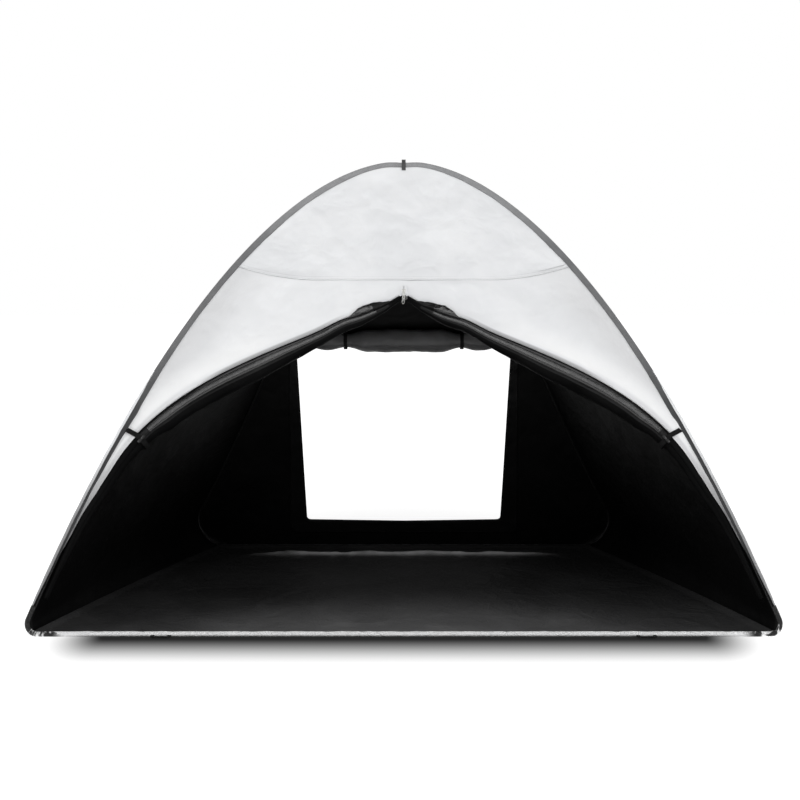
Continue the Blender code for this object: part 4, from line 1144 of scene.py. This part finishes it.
# %% Roll helpers
door_roll_radius = 0.0390
door_tie_s = 0.548
upper_roll = [(0.0, 0.20), (0.16, 0.55), (0.52, 1.0), (0.86, 0.92), (0.96, 0.70), (1.0, 0.70)]
lower_roll = [(0.0, 0.66), (0.07, 0.60), (0.3, 0.52), (1.0, 0.20)]
roll_drop, roll_start = 0.36, math.radians(68.9)
skin, wall_gap, wall_slope = 0.0014, 0.0013, 0.85
look_ahead = 0.0015


def stepped(table, share):
    """Reads a table of (place, size) pairs with smooth steps between them."""
    found = np.full(np.shape(share), table[0][1], float)
    for (p0, v0), (p1, v1) in zip(table, table[1:]):
        found += (v1 - v0) * smooth((share - p0) / (p1 - p0))
    return found


def spiral(radius, turns, core, steps, start):
    """A roll's section from its outer edge to its core: for radii (P,), out and n (P, K), angles (K,)."""
    share = np.linspace(0, 1, steps)
    angle = start + share * turns * turn
    size = radius[:, None] * (1 - share) + np.minimum(core, radius * 0.3)[:, None] * share
    return size * np.cos(angle), size * np.sin(angle), angle


door_edge_t = np.linspace(0, 1, 4001)
door_edge = opening_point(door_edge_t)
tie_t = float(np.interp(-door_tie_s, -door_edge[:, 1], door_edge_t))
sleeve_line = offset(even_arch, -sleeve_inner)[:edge_points // 2]


def roll_radius(t):
    return door_roll_radius * np.where(t < tie_t, stepped(upper_roll, t / tie_t),
                                       stepped(lower_roll, (t - tie_t) / (1 - tie_t)))


def side_wall_x(points):
    """How far across the side wall stands, level with each point and as far back."""
    found = []
    for x, y, z in points:
        row = side_points(np.array([(z - foot_pocket) / math.cos(lean)]), np.linspace(0, 1, 40))[0]
        found.append(np.interp(y, row[:, 1], row[:, 0]))
    return np.array(found)


def roll_middle(t):
    """The middle of the roll at +X at shares t down the opening's edge, as x, s, n and radius."""
    radius = roll_radius(t)
    spot, ahead = opening_point(t), opening_point(t + look_ahead)
    way = (ahead - spot) / np.linalg.norm(ahead - spot, axis=1, keepdims=True)
    sleeve_x = np.interp(spot[:, 1], sleeve_line[:, 1], sleeve_line[:, 0])
    x = np.minimum(spot[:, 0], sleeve_x) + roll_drop * radius * way[:, 1]
    s = spot[:, 1] - roll_drop * radius * way[:, 0]
    n = -(skin + radius * math.sin(roll_start))
    wall = side_wall_x(on_plane(front, x, s, n)) - (radius + wall_gap) / wall_slope
    return np.minimum(x, wall), s, n, radius


print("the tie crosses the door's edge at share", round(tie_t, 3))


# %% Door leaves
leaf_rows, leaf_columns, leaf_turns, leaf_core = 260, 150, 4.6, 0.0035
leaf_from, leaf_to = 0.006, 0.985
glossy_middle, half_beyond, dull_beyond = 0.335, 0.280, 0.305
leaf_finishes = [rolled_cloth, rolled_painted_light, rolled_half, rolled_dull]
# Columns 3 to 8 take the roll's painted light, just under the panel's edge.
leaf_bands = [(0, 3, 0), (3, 8, 1), (31, 35, 2)]


def door_leaf(name, hand, seed):
    """One leaf, rolled inwards along the slanted edge of the door."""
    t = np.linspace(leaf_from, leaf_to, leaf_rows)
    x, s, n, radius = roll_middle(t)
    path = np.stack([x, s], axis=1)
    away = np.abs(t - tie_t) * 1.3
    creased = 0.12 + 0.88 * smooth(away / 0.06)
    out, up, angle = spiral(radius, leaf_turns, leaf_core, leaf_columns, roll_start)
    along = length_along(path)[:, None]
    twist = along * 3.2
    spot = np.stack([along * 4.6 + 0 * angle, (angle + twist) * 0.55], axis=-1)
    long_fold = waves(spot, 1.0, seed, 3) * creased[:, None]
    short_fold = waves(spot * (5.0, 1.6), 1.0, seed + 4, 2)
    outer = 1 - 0.55 * np.linspace(0, 1, leaf_columns)[None]
    swell = 1 + (0.13 * long_fold + 0.045 * short_fold) * outer
    loose = smooth(np.linspace(0, 12, leaf_columns))[None]
    out, up = out * (1 + (swell - 1) * loose), up * (1 + (swell - 1) * loose)
    far = np.abs(t - glossy_middle)
    dull = np.select([far > dull_beyond, far > half_beyond], [3, 2]).astype(np.int32)
    path, out, up, n, dull = for_hand(hand, path, out, up, n, dull)
    piece = sweep(name, front, path, out, up + n[:, None], leaf_finishes, bands=leaf_bands, dull=dull)
    keep(piece, "front_frame", [name])


door_leaf("door_roll_right", 1, 101.0)
door_leaf("door_roll_left", -1, 113.0)
print("leaves:", len(made_pieces["door_roll_right"].data.polygons), "faces each")

# %% Window cover
cover_radius, cover_rise, cover_half = 0.039, 0.027, 0.30
cover_tie_x, cover_tie_width = 0.187, 0.011
cover_seat = 0.0026
cover_rows, cover_columns, cover_turns, cover_core = 230, 150, 6.2, 0.004
cover_start = math.radians(268)
cover_pinch, cover_end, cover_lobe = 0.60, 0.52, 0.28


def cover_size(x):
    """The rolled cover's radius: a lobe beyond each tie, a pinch under it and a full roll between."""
    inner = cover_tie_x - cover_tie_width / 2
    outer = cover_tie_x + cover_tie_width / 2
    beyond = np.clip((cover_half - np.abs(x)) / (cover_half - outer), 0, 1)
    lobe = cover_end + cover_lobe * np.sin(math.pi * beyond) + (cover_pinch - cover_end) * beyond
    middle = cover_pinch + (1 - cover_pinch) * smooth((inner - np.abs(x)) / 0.06)
    return cover_radius * np.where(np.abs(x) > outer, lobe, middle)


cover_x = np.linspace(cover_half, -cover_half, cover_rows)
size = cover_size(cover_x)
out, up, angle = spiral(size, cover_turns, cover_core, cover_columns, cover_start)
spot = np.stack([cover_x[:, None] * 7 + 0 * angle, angle * 0.5 + cover_x[:, None] * 2.5], axis=-1)
outer = 1 - 0.5 * np.linspace(0, 1, cover_columns)[None]
crease = (0.11 * waves(spot, 1.0, 131.0) + 0.05 * waves(spot * (4, 1.5), 1.0, 137.0, 2)) * outer
out, up = out * (1 + crease), up * (1 + crease)
path = np.stack([cover_x, np.full_like(cover_x, window_top + cover_rise)], axis=1)
cover = sweep("window_cover_roll", rear, path, out, up - cover_radius - cover_seat, [cover_cloth])
keep(cover, "rear_frame", ["window_cover_roll"])
print("cover:", len(cover.data.polygons), "faces")

# %% [markdown]
# ## Binding on the door's edge
# A narrow black tape folded over the white wall's edge finishes the opening, and the leaf's zip is
# sewn into it. It is the same folded section as the sleeves, only smaller.

# %% Opening bindings
binding_width, binding_half, binding_thickness = 0.007, 0.0010, 0.0005
binding_from, binding_above_tie, binding_rows = 0.0103, 0.004, 300


def opening_binding(name, hand, seed):
    edge = opening_up[opening_up[:, 0] > binding_from]
    path, = for_hand(hand, spaced(edge[edge[:, 1] > door_tie_s + binding_above_tie], binding_rows))
    sleeve_x = np.interp(path[:, 1], sleeve_line[:, 1], sleeve_line[:, 0])
    room = np.clip(sleeve_x - np.abs(path[:, 0]) + 0.004, 0.0012, 0.0030)
    out, n = folded_tape(binding_width, binding_half, binding_half, 7, 4)
    out = -out * (room / binding_width)[:, None]
    n = n + wandering(path, seed, 0.0003, 40.0)
    piece = sweep(name, front, path, out, n, [black_tape], binding_thickness)
    keep(piece, "front_frame", [name])


opening_binding("opening_binding_right", 1, 141.0)
opening_binding("opening_binding_left", -1, 147.0)
print("bindings:", len(made_pieces["opening_binding_right"].data.polygons), "faces each")

# %% [markdown]
# ## Straps
# Ties and loops are woven straps. A strap is a line of points with the direction of its width at each,
# so the helper needs little more than those two. The ribs of its finish run across it.

# %% Strap helper
strap_thickness, least_strap = 0.0012, 0.010
strap_shares = np.array([-0.5, -0.46, -0.3, 0.0, 0.3, 0.46, 0.5])


def strap(name, line, wide, width, body, thickness=strap_thickness, finish=black_tape):
    """A strap along points (N, 3), spread by width along unit vectors (N, 3) or one vector."""
    line, wide = np.asarray(line, float), np.broadcast_to(wide, np.shape(line))
    spread = strap_shares * width
    points = line[:, None] + wide[:, None] * spread[None, :, None]
    along = np.broadcast_to(length_along(line)[:, None], points.shape[:2])
    place = np.stack([np.broadcast_to(spread, points.shape[:2]), along], axis=-1)
    piece = solid(thicken(grid_object(name, points, place, [finish]), thickness, offset_share=0.0))
    keep(piece, body, [name])
    length_along(line)[-1]


def filled(points, step=0.0012):
    """A polyline with its corners rounded by even sampling and a light smoothing."""
    points = np.asarray(points, float)
    length = length_along(points)
    want = np.linspace(0, length[-1], max(int(length[-1] / step), 8))
    even = np.stack([np.interp(want, length, column) for column in points.T], axis=1)
    for _ in range(3):
        even[1:-1] = (even[:-2] + 2 * even[1:-1] + even[2:]) / 4
    return even


print("straps are", strap_thickness * 1000, "mm thick")

# %% [markdown]
# ## Ties of the door's leaves
# Each leaf is held by a strap that starts at the sleeve, crosses the white wall's edge, goes round the
# roll and comes up behind it. A toggle lies on it. The roll is drawn in there, so the strap follows the
# roll's own radius.

# %% Door ties
door_tie_width = 0.014
tie_over, tie_slant, tie_look, tie_gap = 0.0024, 0.25, 0.01, 0.0013


def door_tie(name, hand):
    (x0, s0), = opening_point(np.array([tie_t]))
    near = tie_t + tie_look * np.array([-1, 0, 1])
    x, s, n, _ = roll_middle(near)
    run, rise = x[2] - x[0], s[2] - s[0]
    ax, down = (run, rise) / np.hypot(run, rise)
    inward = (x[1] - x0) * down - (s[1] - s0) * ax
    reach = float(max(roll_radius(near))) + tie_gap
    sleeve_x = np.interp(s0, sleeve_line[:, 1], sleeve_line[:, 0])
    turns = np.radians(np.linspace(82, 330, 60))
    path = [((x0 - sleeve_x) * -down - 0.006, tie_over + 0.0018), (-0.001, tie_over)]
    path += [(inward - reach * math.cos(a), n[1] + reach * math.sin(a)) for a in turns]
    path = filled(path)

    def place(u, depth_n, v):
        return on_plane(front, hand * (x0 + u * down + v * ax), s0 - u * ax + v * down, depth_n)

    slant = tie_slant * np.maximum(-path[:, 0], 0)
    line = place(path[:, 0], path[:, 1], slant)
    wide = place(path[:, 0], path[:, 1], slant + 1.0) - line
    strap(name, line, wide, door_tie_width, "front_frame")


door_tie("door_tie_right", 1)
door_tie("door_tie_left", -1)
print("door ties at s", door_tie_s)

# %% [markdown]
# ## Ties of the window's cover
# Two straps are sewn flat to the window's hem and hold the rolled cover from below.

# %% Window ties
cover_axis = cover_radius + cover_seat
cover_face, window_tie_rise, window_tie_tail = 0.0031, 0.022, 0.008


def window_tie(name, hand):
    reach = float(cover_size(np.array([cover_tie_x]))[0]) * 1.05 + 0.001
    seat, rise = cover_axis - cover_face - 0.0008, window_tie_rise
    first = math.acos(reach / math.hypot(rise, seat)) - math.atan2(seat, rise)
    turns = np.linspace(first, math.radians(235), 60)
    path = [(rise + window_tie_tail, -seat), (rise, -seat)]
    path = filled(path + [(reach * math.cos(a), reach * math.sin(a)) for a in turns])
    line = on_plane(rear, hand * cover_tie_x, window_top + cover_rise + path[:, 0], -cover_axis - path[:, 1])
    strap(name, line, (1, 0, 0), cover_tie_width, "rear_frame")


window_tie("window_tie_right", 1)
window_tie("window_tie_left", -1)
print("window ties at x", cover_tie_x)

# %% [markdown]
# ## The crown's strap and the peg loops
# A short strap folded over both sleeves binds the hoops at the crown, and its fold stands up as a tab.
# On the ground a loop of strap is sewn under the foot of each hoop, left and right, for a peg.

# %% Crown tie and peg loops
wire_s = crown_s - crown_dip
crown_tie_width, crown_tab_half, crown_tab_height = 0.012, 0.0008, 0.0084
crown_tail_end, crown_tail_start = 0.024, 0.015
loop_length, loop_reach, loop_web, loop_bend, loop_thickness = 0.053, 0.022, 0.009, 0.006, 0.0016
front_loop_x, rear_loop_x = 0.637, 0.45


def crown_tie():
    near_tail, near_wire = sewn_half + 0.0016, pocket + 0.0011

    def leg(side):
        low = on_plane(side, 0.0, wire_s - crown_tail_end, near_tail)
        tail = on_plane(side, 0.0, wire_s - crown_tail_start, near_tail)
        bulge = on_plane(side, 0.0, wire_s, near_wire)
        top = on_plane(side, 0.0, wire_s) + (0, 0, near_wire)
        shoulder = (bulge + top) / 2 + on_plane(side, 0, 0, 0.0006) - on_plane(side, 0, 0)
        return [low, tail, bulge, shoulder, top]

    climb, fold = leg(front), crown_tab_half
    top_z = climb[-1][2]
    tab = [(0, -fold, top_z), (0, -fold, top_z + crown_tab_height), (0, fold, top_z + crown_tab_height),
           (0, fold, top_z)]
    line = filled(climb + [np.array(p) for p in tab] + leg(rear)[::-1], 0.0008)
    strap("crown_tie", line, (1, 0, 0), crown_tie_width, "front_frame",
          finish=faded_strap)


def peg_loop(name, side, x, hand, body):
    """A strap that leaves the seam, turns twice with folded corners, and goes back into it."""
    half, reach, bend = loop_length / 2 - loop_web / 2, loop_reach - loop_web / 2, loop_bend
    turns = np.linspace(0, math.pi / 2, 10)
    arc = np.stack([half - bend + bend * np.cos(turns), reach - bend + bend * np.sin(turns)], axis=1)
    leg = np.array([(half, -0.006), (half, 0.004)])
    outline = spaced(np.concatenate([leg, arc, mirrored(arc), mirrored(leg)]), 90)
    sideways = normals_of(outline)
    start = depth / 2 + 0.0003
    lift = foot_pocket + 0.0006 * np.sin(np.linspace(0, math.pi, len(outline)))
    line = np.stack([hand * x + outline[:, 0], side * (start + outline[:, 1]), lift], axis=1)
    wide = np.stack([sideways[:, 0], side * sideways[:, 1], np.zeros(len(outline))], axis=1)
    strap(name, line, wide, loop_web, body, loop_thickness)


crown_tie()
for label, hand in (("right", 1), ("left", -1)):
    peg_loop("peg_loop_front_" + label, front, front_loop_x, hand, "front_frame")
    peg_loop("peg_loop_rear_" + label, rear, rear_loop_x, hand, "rear_frame")
print("crown tie and loops:", [n for n in made_pieces if "loop" in n])

# %% [markdown]
# ## The zip's end
# Where the leaves' zip would close, its two tapes still meet above the slider. They are thin white tape
# sewn on the white wall, with a row of moulded teeth down the middle.

# %% Zip tape and its teeth
tape_width, tape_above, tape_below = 0.020, 0.034, -0.0085
tape_n, tape_thickness = 0.0014, 0.0007
slot_half, slot_end, teeth_half = 0.0014, 0.0255, 0.0004


def zip_half(hand):
    s = np.linspace(-tape_below, tape_above, 40)
    inner = np.where(s < slot_end, slot_half, teeth_half)
    share = np.linspace(0, 1, 7)[None]
    x = hand * (inner[:, None] + (tape_width / 2 - inner[:, None]) * share)
    rows = np.broadcast_to(opening_peak + s[:, None], x.shape)
    points = on_plane(front, x, rows, tape_n + 0.0002 * np.sin(share * math.pi))
    label = "zip_tape_right" if hand > 0 else "zip_tape_left"
    piece = grid_object(label, points, np.stack([x, rows], axis=-1), [white_outer], facing=tent_middle)
    keep(solid(thicken(piece, tape_thickness, offset_share=0.0)), "front_frame",
         ["zip_tape"])


zip_half(1)
zip_half(-1)
teeth = np.linspace(slot_end + 0.001, tape_above, 60)
stitches("zip_teeth", on_plane(front, teeth * 0, opening_peak + teeth, tape_n + 0.0006), white_thread,
         "front_frame", pitch=0.0012, length=0.0007, thickness=0.0026, seed=3)
print("zip:", len(made_pieces["zip_teeth"].data.polygons), "faces of teeth")

# %% [markdown]
# ## The slider's inner pull
# A tent's slider has a pull on each face, so that it can be worked from both sides. The inner one hangs
# straight down inside and shows below the peak: a flat tab with a slot near its end, and a small ring.

# %% Inner pull and ring
def ring_plate(name, outer, inner, place, thickness, finish):
    """A flat plate with a hole, from two outlines with the same number of points."""
    flat = between(inner, outer, 3)
    piece = grid_object(name, place(flat[..., 0], flat[..., 1]), flat, [finish], True, (0, 1, 0.9))
    return keep(solid(thicken(piece, thickness, offset_share=0.0)), "front_frame")


def oval(half_width, half_height, middle, lean_in=0.0, count=48):
    angle = np.linspace(-math.pi, math.pi, count + 1)[:-1]
    narrow = 1 - lean_in * np.sin(angle)
    return np.stack([half_width * np.cos(angle) * narrow, middle + half_height * np.sin(angle)], axis=1)


pull_low, pull_top, pull_aside, pull_thickness = 0.8660, 0.8985, -0.0015, 0.0013
ring_z, ring_aside, ring_forward, ring_turn, ring_thickness = 0.8840, 0.0062, 0.016, 0.9, 0.0012
middle_z, half_z = (pull_low + pull_top) / 2, (pull_top - pull_low) / 2
pull_back = float(on_plane(front, 0, opening_peak + 0.006, -0.007)[1])


def pull_place(x, z):
    return np.stack([x + pull_aside, x * 0 + pull_back, z], axis=-1)


def ring_place(x, z):
    return np.stack([x + ring_aside, pull_back - ring_forward + x * ring_turn, z], axis=-1)


ring_plate("inner_pull", oval(0.0047, half_z, middle_z, 0.35), oval(0.0021, 0.0036, pull_low + 0.0065, 0.3),
           pull_place, pull_thickness, plated)
ring_plate("pull_ring", oval(0.0041, 0.0046, ring_z), oval(0.0028, 0.0033, ring_z),
           ring_place, ring_thickness, plated)
print("inner pull:", round((pull_top - pull_low) * 1000), "mm long")

# %% [markdown]
# ## The leaves' folded ends
# At the peak there is more cloth than the roll can take. It comes forward over the white wall's edge
# on each side as a soft folded tongue, highest a hand's breadth from the zip.

# %% Folded ends
fold_heights = [(0.014, -0.001), (0.030, -0.001), (0.040, 0.001), (0.052, 0.007), (0.066, 0.0145),
                (0.082, 0.0195), (0.100, 0.0210), (0.112, 0.0225), (0.126, 0.0195), (0.140, 0.0125),
                (0.152, 0.004), (0.164, -0.001)]
fold_shape = [(-1.0, -1.7), (-0.9, -0.4), (-0.45, 0.55), (0.2, 1.0), (0.75, 0.95), (1.0, 0.62), (0.92, 0.3),
              (0.5, 0.22), (0.0, 0.2), (-0.3, 0.18)]
fold_rows, fold_tail, fold_lift, half_dull_to = 150, 0.003, 0.0022, 0.088
fold_thickness, fold_fullness, fold_clear = 0.0045, 0.16, 0.0016
fold_ripple_out, fold_ripple_up = 0.0019, 0.0024


def folded_end(name, hand, seed):
    places, heights = zip(*fold_heights)
    edge = door_edge[(door_edge[:, 0] > places[0]) & (door_edge[:, 0] < places[-1])]
    edge = spaced(edge[::-1], fold_rows)
    high = np.interp(edge[:, 0], places, heights)[:, None]
    thick = fold_thickness + fold_fullness * np.maximum(high, 0)
    shape = filled(fold_shape, 0.09)
    out = np.where(shape[:, 0] > 0, shape[:, 0] * high, shape[:, 0] * fold_tail)
    n = fold_lift + shape[:, 1] * thick
    across = np.linspace(0, 1, n.shape[1])[None]
    along = length_along(edge)[:, None]
    spot = np.stack([along * 30 + 0 * n, across * 3.0 + 0 * n + along * 9], axis=-1)
    crease = waves(spot, 1.0, seed, 3)
    loose = np.sin(across * math.pi) * smooth(np.maximum(high, 0) / 0.006 + 0.2)
    out = out + crease * fold_ripple_out * loose
    n = np.maximum(n + crease * fold_ripple_up * loose, np.where(out > -0.001, fold_clear, -0.03))
    dull = (edge[:, 0] < half_dull_to).astype(np.int32)
    path, out, n, dull = for_hand(hand, edge, out, n, dull)
    piece = sweep(name, front, path, out, n, [rolled_cloth, rolled_half], bands=[(0, n.shape[1], 0)],
                  dull=dull)
    keep(piece, "front_frame")


folded_end("door_fold_right", 1, 161.0)
folded_end("door_fold_left", -1, 173.0)
print("folded ends:", max(size for _, size in fold_heights) * 1000, "mm high")

# %% [markdown]
# ## Stitched seams
# The lap of the front wall, the door's binding and the window's hem each have their own rows of
# stitches, on the side that is seen.

# %% Seam stitches
stitched_points, lap_stitch_inset, binding_stitch_inset = 700, 0.006, 0.0052
binding_stitch_from, binding_stitch_above_tie = 0.0125, 0.006
hem_front_n, hem_back_n, binding_n = -0.0033, 0.0004, 0.0016

x = np.linspace(corner_x - lap_stitch_inset, -corner_x + lap_stitch_inset, stitched_points)
for label, rise, n in (("low", 0.0015, 0.0020), ("high", 0.0085, 0.0014)):
    stitches("lap_seam_stitches_" + label, on_plane(front, x, seam_s(x) + rise, n), white_thread,
             "front_frame", seed=5)

beside = opening_up[(opening_up[:, 0] > binding_stitch_from)
                    & (opening_up[:, 1] > door_tie_s + binding_stitch_above_tie)]
edge = offset(spaced(beside, stitched_points), binding_stitch_inset)
for label, hand in (("right", 1), ("left", -1)):
    stitches("opening_binding_stitches_" + label, on_sheet(front, edge * (hand, 1), binding_n), black_thread,
             "front_frame", seed=7)

for label, share in (("inner", 0.14), ("outer", 0.88)):
    ring = border_in * (1 - share) + border_out * share
    ring = np.concatenate([ring, ring[:1]])
    stitches("window_border_stitches_" + label, on_sheet(rear, ring, hem_front_n), black_thread,
             "rear_frame", seed=9)
    stitches("rear_panel_stitches_" + label, on_sheet(rear, ring, hem_back_n), white_thread,
             "rear_frame", seed=11)
print("seams:", [n for n in made_pieces if "stitches" in n])

# %% [markdown]
# ## Hard pieces
# The wires, their ferrules, the slider, its pull and the toggles keep the frame's shapes and get
# their finishes.

# %% Finishes of the hard pieces
hard_finishes = {"hoop_wire": spring_wire, "wire_ferrule": plated, "zip_slider": plated,
                 "zip_pull": plated, "door_toggle": moulded}
for name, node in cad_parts.items():
    for part, finish in hard_finishes.items():
        if part in name:
            node.data.materials.clear()
            node.data.materials.append(finish)
print("hard pieces:", [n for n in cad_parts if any(p in n for p in hard_finishes)])

# %% [markdown]
# ## Floor and light
# A pale floor that the camera sees as white, and large soft lamps in front and at the sides. The
# tent's mouth is open, so lamps alone leave hardly any shadow before the sill. The studio picture has
# a soft one there, so the floor itself is darker over about 30 cm in front of the sill.

# %% Stage
floor_lit_from, floor_lit_to = 1.1, 2.4
shadow_half, shadow_reach, shadow_end_share = 0.78, 0.31, 1.7


def stage_floor():
    made = Finish("stage_floor", roughness=0.9, specular_ior_level=0.0)
    place = made.object_place()
    across, back = made.axis(place, 0), made.axis(place, 1)
    aside = (across.math("ABSOLUTE") - shadow_half).math("MAXIMUM", 0.0) * shadow_end_share
    ahead = (back * -1 - depth / 2).math("MAXIMUM", 0.0)
    apart = (aside * aside + ahead * ahead).power(0.5)
    shade = apart.ramp(0.0, shadow_reach).math("MAXIMUM", back.ramp(-0.4, 0.2)).math("MAXIMUM", 0.02)
    made.set(base_color=made.mix(shade, (0.0, 0.0, 0.0), (0.8, 0.8, 0.8)))
    away = made.add("ShaderNodeVectorMath", {"operation": "LENGTH"}, {0: place}, 1)
    far = away.ramp(floor_lit_from, floor_lit_to)
    lit = made.mix(shade, (0.0, 0.0, 0.0), (0.62, 0.62, 0.62))
    made.set(emission_color=made.mix(far, lit, (1.0, 1.0, 1.0)), emission_strength=1.0)
    return made.material


bpy.ops.mesh.primitive_plane_add(size=60, location=(0, 0, 0))
ground = bpy.context.object
ground.name = "stage_floor"
ground.data.materials.append(stage_floor())

world = bpy.data.worlds.new("studio")
bpy.context.scene.world = world
world.use_nodes = True
sky = Nodes(world.node_tree)
background = world.node_tree.nodes["Background"]
seen = sky.add("ShaderNodeLightPath", {}, {}, 0)
glossy = sky.add("ShaderNodeLightPath", {}, {}, 3)
ambient, mirrored_sky = 0.21, 0.07
strength = (glossy * (mirrored_sky - ambient) + ambient).math("MAXIMUM", seen)
background.inputs[0].default_value = (1, 1, 1, 1)
world.node_tree.links.new(strength.socket, background.inputs[1])


def lamp(name, place, aim, size, power):
    light = bpy.data.lights.new(name, "AREA")
    light.shape = "RECTANGLE"
    light.size, light.size_y = size
    light.energy = power
    made = bpy.data.objects.new(name, light)
    made.location = place
    made.rotation_euler = (Vector(aim) - Vector(place)).to_track_quat("-Z", "Y").to_euler()
    bpy.context.scene.collection.objects.link(made)
    return made


lamp("front_top", (0, -3.3, 3.3), (0, -0.2, 0.7), (3.2, 2.0), 63)
lamp("left_side", (-3.6, -0.8, 2.0), (0, 0, 0.5), (2.0, 2.0), 45)
lamp("right_side", (3.6, -0.8, 2.0), (0, 0, 0.5), (2.0, 2.0), 45)
bpy.context.scene.view_settings.view_transform = "Standard"
print("stage and lamps set")
